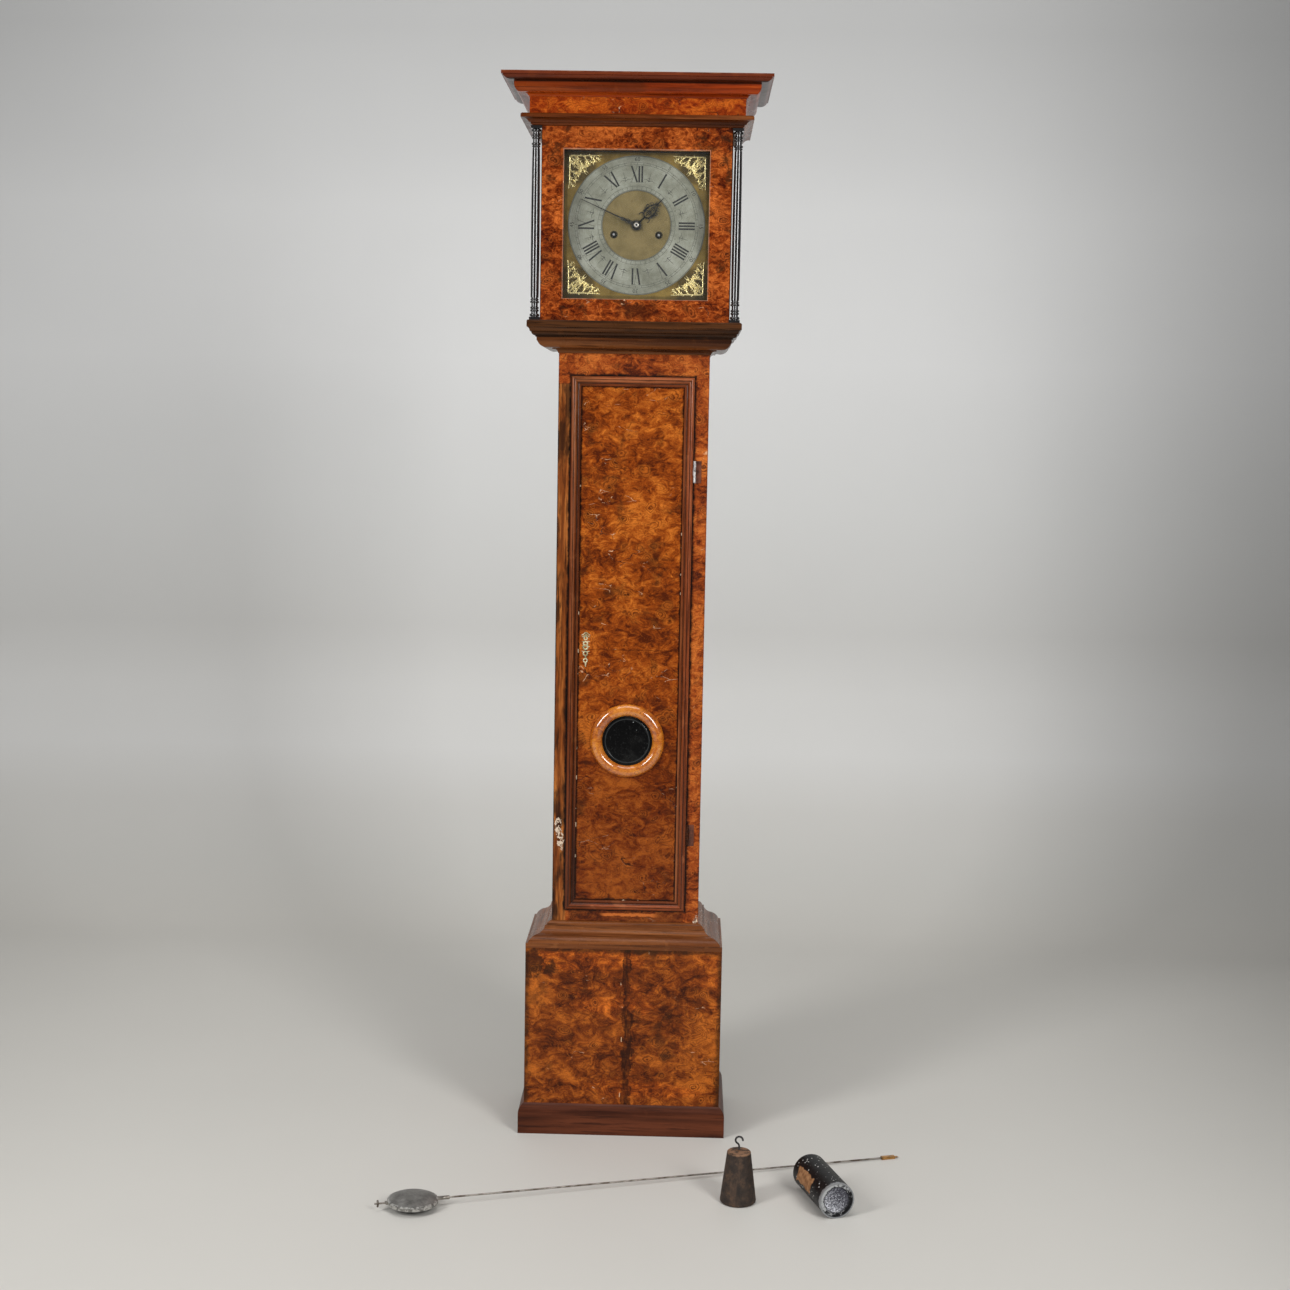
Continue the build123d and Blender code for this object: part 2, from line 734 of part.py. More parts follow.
with BuildPart() as hood_top_boards:
    board((-hood_top_half, hood_top_half), (hood_top_front, case_back), (architrave_bottom, frieze_bottom))
    board((-frieze_half + hood_board + glue_line, frieze_half - hood_board - glue_line),
          (frieze_front + hood_board + glue_line, case_back), (2012, 2020))
    with Locations((column_x, column_y, architrave_bottom)):
        Cylinder(column_pin_radius + running_gap, 2 * column_pin_length + 1, mode=Mode.SUBTRACT)
save(hood_top_boards, "hood_top_boards")

architrave_strips = mitred_moulding(architrave_profile, hood_top_half, hood_top_front,
                                    architrave_reach, architrave_bottom, frieze_bottom)
with BuildPart() as architrave_moulding:
    add(architrave_strips)
save(architrave_moulding, "architrave_moulding")

with BuildPart() as frieze:
    board((-frieze_half, frieze_half), (frieze_front, frieze_front + hood_board),
          (frieze_bottom, cornice_top - 4))
    both_sides((frieze_half - hood_board, frieze_half),
               (frieze_front + hood_board + glue_line, case_back), (frieze_bottom, cornice_top - 4))
save(frieze, "frieze")

cornice_strips = mitred_moulding(cornice_profile, frieze_half, frieze_front,
                                 cornice_reach, frieze_top, cornice_top)
with BuildPart() as cornice_moulding:
    add(cornice_strips)
save(cornice_moulding, "cornice_moulding")

# Mask: the thin frame inside the hood that closes the gap round the dial
mask_front = rail_back + glue_line
with BuildPart() as dial_mask:
    with BuildSketch(facing(0, mask_front + mask_thickness, 1750)):
        Rectangle(2 * hood_inner - 1, 368)
        with Locations((0, hood_opening_centre - 1750)):
            Rectangle(hood_opening_width + 2 * mask_reveal, hood_opening_height + 2 * mask_reveal,
                      mode=Mode.SUBTRACT)
    extrude(amount=mask_thickness)
save(dial_mask, "dial_mask")

# Hood door: two stiles and two rails, rebated at the back for the glass
hood_door_half = hood_door_width / 2
hood_door_front = hood_door_back - hood_door_thickness
opening_half = hood_opening_width / 2
opening_low = hood_opening_centre - hood_opening_height / 2
opening_high = hood_opening_centre + hood_opening_height / 2
glass_back = hood_door_back - 1.5
with BuildPart() as hood_door_frame:
    door_y = (hood_door_front, hood_door_back)
    both_sides((opening_half, hood_door_half), door_y, (hood_door_bottom, hood_door_top))
    rail_x = (glue_line - opening_half, opening_half - glue_line)
    board(rail_x, door_y, (hood_door_bottom, opening_low))
    board(rail_x, door_y, (opening_high, hood_door_top))
    with Locations((0, hood_door_back, hood_opening_centre)):
        Box(hood_opening_width + 2 * hood_glass_margin, 2 * (hood_glass_thickness + 1.5),
            hood_opening_height + 2 * hood_glass_margin, mode=Mode.SUBTRACT)
save(hood_door_frame, "hood_door_frame")

with BuildPart() as hood_door_glass:
    with BuildSketch(facing(0, glass_back, hood_opening_centre)):
        Rectangle(hood_opening_width + 2 * hood_glass_margin - 1,
                  hood_opening_height + 2 * hood_glass_margin - 1)
    extrude(amount=hood_glass_thickness)
save(hood_door_glass, "hood_door_glass")


def bead(low, high, neck, radius):
    """One turned bead on a column's outline."""
    Line((neck, low), (radius - 1, low))
    ThreePointArc((radius - 1, low), (radius, (low + high) / 2), (radius - 1, high))
    Line((radius - 1, high), (neck, high))


def column_outline(low, high):
    """Half outline of a turned column with bead groups at both ends."""
    neck = 6.2
    foot = low + column_block
    head = high - column_block
    lower = [(foot + 1, foot + 6, 9.2), (foot + 10, foot + 14, 8.2), (foot + 15, foot + 19, 8.2),
             (foot + 26, foot + 30, 8.6), (foot + 31, foot + 34, 7.8)]
    upper = [(head - 34, head - 31, 7.8), (head - 30, head - 26, 8.6), (head - 19, head - 15, 8.2),
             (head - 14, head - 10, 8.2), (head - 6, head - 1, 9.2)]
    with BuildLine() as outline:
        Polyline((neck, foot), (0, foot), (0, head), (neck, head))
        place = foot
        for start, end, radius in lower:
            Line((neck, place), (neck, start))
            bead(start, end, neck, radius)
            place = end
        shaft_start = place + 2
        shaft_end = upper[0][0] - 2
        Line((neck, place), (neck, shaft_start))
        Line((neck, shaft_start), (column_shaft_radius, shaft_start))
        Spline((column_shaft_radius, shaft_start), (column_shaft_radius + 0.5, shaft_start + 80),
               (column_shaft_radius - 0.6, shaft_end))
        Line((column_shaft_radius - 0.6, shaft_end), (neck, shaft_end))
        place = shaft_end
        for start, end, radius in upper:
            Line((neck, place), (neck, start))
            bead(start, end, neck, radius)
            place = end
        Line((neck, place), (neck, head))
    make_face(outline.edges())


with BuildPart() as hood_columns:
    for side in (-1, 1):
        with BuildSketch(Plane(origin=(side * column_x, column_y, 0), x_dir=(1, 0, 0), z_dir=(0, -1, 0))):
            column_outline(hood_door_bottom, hood_door_top)
        revolve(axis=Axis((side * column_x, column_y, 0), (0, 0, 1)))
        outer = column_x + column_radius
        block_x = sorted((side * hood_door_half, side * outer))
        block_y = (column_y - column_radius, column_y + column_radius - sliding_gap)
        board(block_x, block_y, (hood_door_bottom, hood_door_bottom + column_block))
        board(block_x, block_y, (hood_door_top - column_block, hood_door_top))
    for end in (hood_door_bottom, hood_door_top):
        with Locations((column_x, column_y, end)):
            Cylinder(column_pin_radius, 2 * column_pin_length - 1)
save(hood_columns, "hood_columns")

# Dial plate with winding holes and a centre hole
winding_places = ((-winding_x, -winding_drop), (winding_x, -winding_drop))
with BuildPart() as dial_plate:
    with BuildSketch(dial_plane((0, 0), dial_back)):
        Rectangle(dial_size, dial_size)
        Circle(hour_pipe + 1, mode=Mode.SUBTRACT)
        with Locations(*winding_places):
            Circle(winding_hole, mode=Mode.SUBTRACT)
    extrude(amount=dial_thickness)
save(dial_plate, "dial_plate")

with BuildPart() as chapter_ring:
    with BuildSketch(dial_plane((0, 0), dial_front)):
        Circle(chapter_outer)
        Circle(chapter_inner, mode=Mode.SUBTRACT)
    extrude(amount=chapter_thickness)
save(chapter_ring, "chapter_ring")

# Corner spandrels: pierced castings between the ring and the corners of the plate
spandrel_edge = dial_size / 2 - spandrel_margin
spandrel_middle = spandrel_edge - spandrel_size / 2
with BuildPart() as spandrels:
    with BuildSketch(dial_plane((0, 0), dial_front)):
        for right in (-1, 1):
            for up in (-1, 1):
                with Locations((right * spandrel_middle, up * spandrel_middle)):
                    Rectangle(spandrel_size, spandrel_size)
        Circle(chapter_outer + 0.8, mode=Mode.SUBTRACT)
        for right in (-1, 1):
            for up in (-1, 1):
                near = spandrel_edge - 12
                with Locations((right * near, up * near)):
                    Circle(4, mode=Mode.SUBTRACT)
                with Locations((right * (near - 16), up * (near + 5)), (right * (near + 5), up * (near - 16))):
                    Circle(3, mode=Mode.SUBTRACT)
                with Locations((right * (near - 30), up * (near + 7)), (right * (near + 7), up * (near - 30))):
                    Circle(2, mode=Mode.SUBTRACT)
    extrude(amount=spandrel_thickness)
save(spandrels, "spandrels")


# Movement

def gear_points(teeth, pitch_radius, tooth, turn):
    """Outline of a toothed wheel, with a tooth centred on the direction `turn` in degrees."""
    module = 2 * pitch_radius / teeth
    step = 2 * pi / teeth
    outer, inner, root, pitch, tip = tooth
    corners = ((-inner, -root), (0, -pitch), (outer, -tip), (outer, tip), (0, pitch), (-inner, root))
    points = []
    for number in range(teeth):
        for height, share in corners:
            radius = pitch_radius + height * module
            angle = radians(turn) + (number + share) * step
            points.append((radius * cos(angle), radius * sin(angle)))
    return points


def wheel(place, y, teeth, pitch_radius, turn, bore, arms, thickness=wheel_thickness):
    """A crossed-out wheel whose front face is at y, with a tooth in the direction `turn`.

    It sits on its arbor by an eight-sided hole.
    """
    rim = pitch_radius - 1.25 * 2 * pitch_radius / teeth - 2.2
    with BuildSketch(dial_plane(place, y + thickness)) as section:
        Polygon(*gear_points(teeth, pitch_radius, wheel_tooth, turn), align=None)
        if arms:
            RegularPolygon(rim, 24, major_radius=False, mode=Mode.SUBTRACT)
            RegularPolygon(bore + 3.2, 8, major_radius=False)
            with PolarLocations(0, arms):
                Rectangle(rim + 1, 2.6, align=(Align.MIN, Align.CENTER))
        RegularPolygon(bore + seat_gap, 8, major_radius=False, mode=Mode.SUBTRACT)
    extrude(section.sketch, amount=thickness)


def pinion(place, y, length, leaves, pitch_radius, turn, bore):
    """A pinion with a gap in the direction `turn`, reaching back from y."""
    with BuildSketch(dial_plane(place, y + length)) as section:
        Polygon(*gear_points(leaves, pitch_radius, pinion_leaf, turn + 180 / leaves), align=None)
        RegularPolygon(bore + seat_gap, 8, major_radius=False, mode=Mode.SUBTRACT)
    extrude(section.sketch, amount=length)


def rod(place, start, end, radius):
    """A round rod along the clock's depth."""
    with BuildSketch(dial_plane(place, end)) as section:
        Circle(radius)
    extrude(section.sketch, amount=end - start)


def train_arbor(place, radius, pivot=pivot_radius):
    """An arbor between the plates with a pivot in each of them."""
    rod(place, front_inner_y + end_shake, back_inner_y - end_shake, radius)
    rod(place, front_plate_y, back_plate_y, pivot)


def pitch_radii(distance, first, second):
    """Pitch radii of two gears whose arbors are this far apart."""
    return distance * first / (first + second), distance * second / (first + second)


def heading(start, end):
    """Direction in degrees from one place to another."""
    return degrees(atan2(end[1] - start[1], end[0] - start[0]))


centre_place = (0.0, 0.0)
going_place = (winding_x, -winding_drop)
strike_place = (-winding_x, -winding_drop)
third_place = polar(centre_place, centre_to_third, third_direction)
escape_place = polar(third_place, third_to_escape, escape_direction)
anchor_place = (escape_place[0], escape_place[1] + anchor_rise)
pin_place = polar(strike_place, strike_to_pin, pin_direction)
hoop_place = polar(pin_place, pin_to_hoop, hoop_direction)
warning_place = polar(hoop_place, hoop_to_warning, warning_direction)
fly_place = polar(warning_place, warning_to_fly, fly_direction)
motion_place = (0.0, -motion_distance)
hammer_place = (hammer_x, hammer_z)

great_y = 20.0
centre_wheel_y = -8.0
third_wheel_y = 10.0
escape_wheel_y = 26.0
pin_wheel_y = -22.0
hoop_wheel_y = 4.0
warning_wheel_y = -12.0
cannon_wheel_y = front_plate_y - 4.0
hour_wheel_y = front_plate_y - 8.0
hour_hand_y = dial_front - 5.6
minute_hand_y = dial_front - 9.2

# Plates, with the back cock that carries the anchor and the pendulum's suspension
pivot_places = [third_place, escape_place, pin_place, hoop_place, warning_place, fly_place]
plate_centre = (0, (plate_above - plate_below) / 2)
with BuildPart() as movement_plates:
    for y in (front_plate_y, back_inner_y):
        with BuildSketch(dial_plane(plate_centre, y + plate_thickness)):
            Rectangle(2 * plate_half_width, plate_above + plate_below)
        extrude(amount=plate_thickness)
        for place in pivot_places:
            with BuildSketch(dial_plane(place, y + plate_thickness)):
                Circle(pivot_radius + running_gap)
            extrude(amount=plate_thickness, mode=Mode.SUBTRACT)
        for place in (going_place, strike_place):
            with BuildSketch(dial_plane(place, y + plate_thickness)):
                Circle(barrel_arbor_radius + running_gap)
            extrude(amount=plate_thickness, mode=Mode.SUBTRACT)
        with BuildSketch(dial_plane(centre_place, y + plate_thickness)):
            Circle(centre_arbor_radius + running_gap)
        extrude(amount=plate_thickness, mode=Mode.SUBTRACT)
        with BuildSketch(dial_plane(hammer_place, y + plate_thickness)):
            Circle(pivot_radius + running_gap)
        extrude(amount=plate_thickness, mode=Mode.SUBTRACT)
    with BuildSketch(dial_plane(anchor_place, front_inner_y)):
        Circle(pivot_radius + running_gap)
    extrude(amount=plate_thickness, mode=Mode.SUBTRACT)
    with BuildSketch(dial_plane(anchor_place, back_plate_y)):
        Circle(anchor_arbor_radius + 3)
    extrude(amount=plate_thickness, mode=Mode.SUBTRACT)
    # Stud for the minute wheel of the motion work
    with BuildSketch(dial_plane(motion_place, front_plate_y)):
        Circle(motion_stud_radius)
    extrude(amount=15)
    # Back cock: two feet on the plate, a bridge behind the arbor and the suspension post
    cock_y = back_plate_y + 17
    for side in (-24, 24):
        with BuildSketch(dial_plane((anchor_place[0] + side, anchor_place[1]), cock_y)):
            Rectangle(9, 14)
        extrude(amount=17)
    with BuildSketch(dial_plane(anchor_place, cock_y + 4)):
        Rectangle(57, 14)
        Circle(pivot_radius + running_gap, mode=Mode.SUBTRACT)
    extrude(amount=4)
    with BuildSketch(dial_plane((anchor_place[0], anchor_place[1] + 8), cock_y + 18)):
        Rectangle(12, 8)
    extrude(amount=18)
save(movement_plates, "movement_plates")

# Pillars between the plates, and the dial feet in front of them
pillar_places = [(-pillar_x, pillar_low), (pillar_x, pillar_low), (-pillar_x, pillar_high),
                 (pillar_x, pillar_high), (0, pillar_low + 8)]
foot_places = [(x, z) for x in (-dial_foot_x, dial_foot_x) for z in (-dial_foot_z, dial_foot_z)]


def turned_pillar(place, start, end, radius):
    """A pillar with a waist and a knop at its middle."""
    length = end - start
    with BuildSketch(Plane(origin=(place[0], start, dial_height + place[1]),
                           x_dir=(1, 0, 0), z_dir=(0, 0, 1))) as section:
        with BuildLine():
            Polyline((0, 0), (radius, 0), (radius, 3), (radius - 1.6, 4.5),
                     (radius - 2.2, length * 0.42), (radius - 0.6, length * 0.45))
            ThreePointArc((radius - 0.6, length * 0.45), (radius, length / 2),
                          (radius - 0.6, length * 0.55))
            Polyline((radius - 0.6, length * 0.55), (radius - 2.2, length * 0.58),
                     (radius - 1.6, length - 4.5), (radius, length - 3), (radius, length),
                     (0, length), (0, 0))
        make_face()
    revolve(section.sketch, axis=Axis((place[0], start, dial_height + place[1]), (0, 1, 0)))


with BuildPart() as movement_pillars:
    for place in pillar_places:
        turned_pillar(place, front_inner_y, back_inner_y, pillar_radius)
    for place in foot_places:
        turned_pillar(place, dial_back, front_plate_y, dial_foot_radius)
save(movement_pillars, "movement_pillars")

# Going barrel: drum, great wheel and the winding arbor
great_radius, centre_pinion_radius = pitch_radii(hypot(*going_place), great_teeth, centre_pinion_leaves)


def barrel(place, teeth, pitch_radius, turn, back_end):
    """Line drum with flanges and great wheel, on an arbor with a winding square."""
    with BuildSketch(dial_plane(place, great_y)) as drum:
        Circle(barrel_radius)
        Circle(barrel_arbor_radius + seat_gap, mode=Mode.SUBTRACT)
    extrude(drum.sketch, amount=great_y + 17)
    with BuildSketch(dial_plane(place, -15)) as flange:
        Circle(barrel_flange)
        Circle(barrel_arbor_radius + seat_gap, mode=Mode.SUBTRACT)
    extrude(flange.sketch, amount=2)
    wheel(place, great_y, teeth, pitch_radius, turn, barrel_arbor_radius, 0, great_thickness)
    rod(place, dial_front + 8, back_end, barrel_arbor_radius)
    with BuildSketch(dial_plane(place, dial_front + 8)) as square:
        Rectangle(winding_square, winding_square)
    extrude(square.sketch, amount=12)


with BuildPart() as going_barrel:
    barrel(going_place, great_teeth, great_radius, heading(going_place, centre_place), back_plate_y)
save(going_barrel, "going_barrel")

# Centre wheel on its arbor, which runs forward through the dial
centre_radius, third_pinion_radius = pitch_radii(centre_to_third, centre_teeth, third_pinion_leaves)
with BuildPart() as centre_wheel:
    wheel(centre_place, centre_wheel_y, centre_teeth, centre_radius, third_direction,
          centre_arbor_radius, 4)
    rod(centre_place, minute_hand_y - 3.2, back_plate_y, centre_arbor_radius)
    pinion(centre_place, great_y - 1, great_thickness + 2, centre_pinion_leaves, centre_pinion_radius,
           heading(centre_place, going_place), centre_arbor_radius)
save(centre_wheel, "centre_wheel")

# Third wheel
third_radius, escape_pinion_radius = pitch_radii(third_to_escape, third_teeth, escape_pinion_leaves)
with BuildPart() as third_wheel:
    wheel(third_place, third_wheel_y, third_teeth, third_radius, escape_direction, slow_arbor_radius, 4)
    train_arbor(third_place, slow_arbor_radius)
    pinion(third_place, centre_wheel_y - 2, wheel_thickness + 4, third_pinion_leaves,
           third_pinion_radius, third_direction + 180, slow_arbor_radius)
save(third_wheel, "third_wheel")

# Escape wheel with slanted pointed teeth
with BuildPart() as escape_wheel:
    with BuildSketch(dial_plane(escape_place, escape_wheel_y + 1.4)):
        tooth_step = 2 * pi / escape_teeth
        rim_radius = escape_radius - 4
        outline = []
        for tooth in range(escape_teeth):
            start = tooth * tooth_step
            for radius, share in ((rim_radius, 0.0), (escape_radius, 0.62), (escape_radius, 0.72),
                                  (rim_radius, 0.72)):
                angle = start + share * tooth_step
                outline.append((radius * cos(angle), radius * sin(angle)))
        Polygon(*outline, align=None)
        RegularPolygon(rim_radius - 1.8, 24, major_radius=False, mode=Mode.SUBTRACT)
        RegularPolygon(quick_arbor_radius + 3, 8, major_radius=False)
        with PolarLocations(0, 4):
            Rectangle(rim_radius - 1, 2, align=(Align.MIN, Align.CENTER))
        RegularPolygon(quick_arbor_radius + seat_gap, 8, major_radius=False, mode=Mode.SUBTRACT)
    extrude(amount=1.4)
    train_arbor(escape_place, quick_arbor_radius)
    pinion(escape_place, third_wheel_y - 2, wheel_thickness + 4, escape_pinion_leaves,
           escape_pinion_radius, escape_direction + 180, quick_arbor_radius)
save(escape_wheel, "escape_wheel")

# Anchor: two pallets over the escape wheel, arbor, and the crutch behind the back plate
crutch_y = back_plate_y + 6
crutch_length = 128.0
pallet_reach = escape_radius + 1.9
with BuildPart() as anchor:
    rod(anchor_place, front_inner_y + end_shake, cock_y - end_shake, anchor_arbor_radius)
    rod(anchor_place, front_plate_y, cock_y + 4, pivot_radius)
    with BuildSketch(dial_plane(anchor_place, escape_wheel_y + 2.2)):
        Circle(5)
        for side in (-1, 1):
            inner = polar((0, -anchor_rise), pallet_reach + 5, 90 + side * 42)
            tip = polar((0, -anchor_rise), pallet_reach, 90 + side * 46)
            heel = polar((0, -anchor_rise), pallet_reach + 1.2, 90 + side * 54)
            outer = polar((0, -anchor_rise), pallet_reach + 9, 90 + side * 50)
            Polygon((0, 4), (0, -3), inner, tip, heel, outer, align=None)
        Circle(anchor_arbor_radius + seat_gap, mode=Mode.SUBTRACT)
    extrude(amount=3)
    with BuildSketch(dial_plane(anchor_place, crutch_y + 2)):
        Circle(5)
        with Locations((0, -crutch_length / 2)):
            Rectangle(3, crutch_length)
        Circle(anchor_arbor_radius + seat_gap, mode=Mode.SUBTRACT)
    extrude(amount=2)
    for side in (-1, 1):
        fork_place = (anchor_place[0] + side * 5.5, anchor_place[1] - crutch_length)
        with BuildSketch(dial_plane(fork_place, crutch_y + 24)):
            Rectangle(1.5, 8)
        extrude(amount=24)
    with BuildSketch(dial_plane((anchor_place[0], anchor_place[1] - crutch_length), crutch_y + 2)):
        Rectangle(12.5, 8)
    extrude(amount=2)
save(anchor, "anchor")

# Motion work: cannon wheel, minute wheel and hour wheel
cannon_radius = motion_distance / 2
hour_radius, minute_pinion_radius = pitch_radii(motion_distance, hour_teeth, minute_pinion_leaves)
with BuildPart() as cannon_wheel:
    wheel(centre_place, cannon_wheel_y, cannon_teeth, cannon_radius, -90, cannon_pipe, 0)
    with BuildSketch(dial_plane(centre_place, cannon_wheel_y + wheel_thickness)):
        Circle(cannon_pipe)
        Circle(centre_arbor_radius + seat_gap, mode=Mode.SUBTRACT)
    extrude(amount=cannon_wheel_y + wheel_thickness - minute_hand_y)
save(cannon_wheel, "cannon_wheel")

with BuildPart() as minute_wheel:
    wheel(motion_place, cannon_wheel_y, cannon_teeth, cannon_radius, 90 + 180 / cannon_teeth,
          motion_stud_radius + running_gap, 0)
    pinion(motion_place, cannon_wheel_y - 8, 8, minute_pinion_leaves, minute_pinion_radius, 90,
           motion_stud_radius + running_gap)
    with BuildSketch(dial_plane(motion_place, cannon_wheel_y - 8)):
        Circle(2.4)
        Circle(motion_stud_radius + running_gap, mode=Mode.SUBTRACT)
    extrude(amount=1)
save(minute_wheel, "minute_wheel")

with BuildPart() as hour_wheel:
    wheel(centre_place, hour_wheel_y, hour_teeth, hour_radius, -90, hour_pipe, 4, 1.6)
    with BuildSketch(dial_plane(centre_place, hour_wheel_y + 1.6)):
        Circle(hour_pipe)
        Circle(cannon_pipe + running_gap, mode=Mode.SUBTRACT)
    extrude(amount=hour_wheel_y + 1.6 - hour_hand_y)
save(hour_wheel, "hour_wheel")

# Hands: pierced hour hand, and a long plain minute hand with a small scroll near its hub
with BuildPart() as hour_hand:
    with BuildSketch(hand_plane(hour_hand_y + hand_thickness, hour_hand_angle)):
        Circle(9)
        with Locations((0, 15)):
            Rectangle(4, 16)
        with Locations((-7.5, 29), (7.5, 29)):
            Circle(8)
        with Locations((0, 42)):
            Circle(8.5)
        with Locations((-9, 41), (9, 41)):
            Circle(4.5)
        Polygon((-3.4, 47), (3.4, 47), (0.5, hour_hand_length), (-0.5, hour_hand_length), align=None)
        with Locations((-7.5, 29), (7.5, 29)):
            Circle(4.6, mode=Mode.SUBTRACT)
        with Locations((0, 42)):
            Circle(5, mode=Mode.SUBTRACT)
        with Locations((0, 36)):
            Rectangle(1.6, 40)
        Circle(hour_pipe + seat_gap, mode=Mode.SUBTRACT)
    extrude(amount=hand_thickness)
save(hour_hand, "hour_hand")

with BuildPart() as minute_hand:
    with BuildSketch(hand_plane(minute_hand_y + hand_thickness, minute_hand_angle)):
        Circle(7)
        Polygon((-2.2, 6), (2.2, 6), (1.5, 40), (0.4, minute_hand_length), (-0.4, minute_hand_length),
                (-1.5, 40), align=None)
        with Locations((-3, 14), (3, 14)):
            Circle(3)
        with Locations((0, 26)):
            Circle(3.2)
        with Locations((-3, 14), (3, 14)):
            Circle(1.5, mode=Mode.SUBTRACT)
        Circle(cannon_pipe + seat_gap, mode=Mode.SUBTRACT)
    extrude(amount=hand_thickness)
    with BuildSketch(dial_plane((0, 0), minute_hand_y)):
        Circle(5.5)
        Circle(centre_arbor_radius + seat_gap, mode=Mode.SUBTRACT)
    extrude(amount=1.8, taper=20)
save(minute_hand, "minute_hand")

# Strike barrel, with its winding arbor carried on through the back plate to the count wheel
strike_radius, pin_pinion_radius = pitch_radii(strike_to_pin, strike_great_teeth, pin_pinion_leaves)
count_wheel_y = back_plate_y + 1.5
with BuildPart() as strike_barrel:
    barrel(strike_place, strike_great_teeth, strike_radius, pin_direction, count_wheel_y + 2)
save(strike_barrel, "strike_barrel")

# Count wheel: notches spaced for one to twelve blows
count_radius = 30.0
with BuildPart() as count_wheel:
    with BuildSketch(dial_plane(strike_place, count_wheel_y + wheel_thickness)):
        Circle(count_radius)
        blows = 0
        for hour in range(1, 13):
            blows += hour
            notch = polar((0, 0), count_radius, 360 * blows / 78)
            with Locations(Location((notch[0], notch[1], 0), (0, 0, 360 * blows / 78))):
                Rectangle(7, 1.8, mode=Mode.SUBTRACT)
        Circle(barrel_arbor_radius + seat_gap, mode=Mode.SUBTRACT)
    extrude(amount=wheel_thickness)
save(count_wheel, "count_wheel")

# Pin wheel with the lifting pins for the hammer
pin_radius, hoop_pinion_radius = pitch_radii(pin_to_hoop, pin_teeth, hoop_pinion_leaves)
with BuildPart() as pin_wheel:
    wheel(pin_place, pin_wheel_y, pin_teeth, pin_radius, hoop_direction, slow_arbor_radius, 0)
    with BuildSketch(dial_plane(pin_place, pin_wheel_y + wheel_thickness + 4.5)):
        with PolarLocations(lifting_pin_circle, lifting_pins):
            Circle(1)
    extrude(amount=4.5)
    train_arbor(pin_place, slow_arbor_radius)
    pinion(pin_place, great_y - 1, great_thickness + 2, pin_pinion_leaves, pin_pinion_radius,
           pin_direction + 180, slow_arbor_radius)
save(pin_wheel, "pin_wheel")

# Hoop wheel, warning wheel and fly
hoop_radius, warning_pinion_radius = pitch_radii(hoop_to_warning, hoop_teeth, warning_pinion_leaves)
with BuildPart() as hoop_wheel:
    wheel(hoop_place, hoop_wheel_y, hoop_teeth, hoop_radius, warning_direction, quick_arbor_radius, 4)
    train_arbor(hoop_place, quick_arbor_radius)
    pinion(hoop_place, pin_wheel_y - 2, wheel_thickness + 3, hoop_pinion_leaves, hoop_pinion_radius,
           hoop_direction + 180, quick_arbor_radius)
save(hoop_wheel, "hoop_wheel")

warning_radius, fly_pinion_radius = pitch_radii(warning_to_fly, warning_teeth, fly_pinion_leaves)
with BuildPart() as warning_wheel:
    wheel(warning_place, warning_wheel_y, warning_teeth, warning_radius, fly_direction,
          warning_arbor_radius, 4)
    train_arbor(warning_place, warning_arbor_radius)
    pinion(warning_place, hoop_wheel_y - 2, wheel_thickness + 4, warning_pinion_leaves,
           warning_pinion_radius, warning_direction + 180, warning_arbor_radius)
save(warning_wheel, "warning_wheel")

with BuildPart() as fly:
    train_arbor(fly_place, fly_arbor_radius)
    pinion(fly_place, warning_wheel_y - 2, wheel_thickness + 4, fly_pinion_leaves,
           fly_pinion_radius, fly_direction + 180, fly_arbor_radius)
    with BuildSketch(dial_plane(fly_place, 28)):
        Rectangle(22, 0.8)
        Circle(2.4)
        Circle(fly_arbor_radius + seat_gap, mode=Mode.SUBTRACT)
    extrude(amount=30)
save(fly, "fly")

# Bell, its stand on the back plate, and the hammer
bell_rim = dial_height + bell_lift
stand_y = back_plate_y + 3.5
stand_top = bell_lift + bell_rise + 9
with BuildPart() as bell:
    with BuildSketch(Plane(origin=(0, bell_y, bell_rim), x_dir=(1, 0, 0), z_dir=(0, -1, 0))):
        with BuildLine():
            Line((bell_radius - bell_wall, 0), (bell_radius, 0))
            ThreePointArc((bell_radius, 0), (bell_radius * 0.76, bell_rise * 0.7), (3, bell_rise))
            Line((3, bell_rise), (3, bell_rise - bell_wall))
            ThreePointArc((3, bell_rise - bell_wall), (bell_radius * 0.71, bell_rise * 0.66),
                          (bell_radius - bell_wall, 0))
        make_face()
    revolve(axis=Axis((0, bell_y, bell_rim), (0, 0, 1)))
save(bell, "bell")

with BuildPart() as bell_stand:
    board((-5, 5), (back_plate_y, back_plate_y + 4),
          (dial_height + plate_above - 11, dial_height + stand_top))
    board((-5, 5), (bell_y - 6, back_plate_y + 4), (dial_height + stand_top, dial_height + stand_top + 4))
    with BuildSketch(Plane.XY.offset(bell_rim + bell_rise - 9)):
        with Locations((0, bell_y)):
            Circle(2.8)
    extrude(amount=18)
    with BuildSketch(Plane.XY.offset(bell_rim + bell_rise - bell_wall - 3.2)):
        with Locations((0, bell_y)):
            RegularPolygon(5, 6)
    extrude(amount=3)
save(bell_stand, "bell_stand")

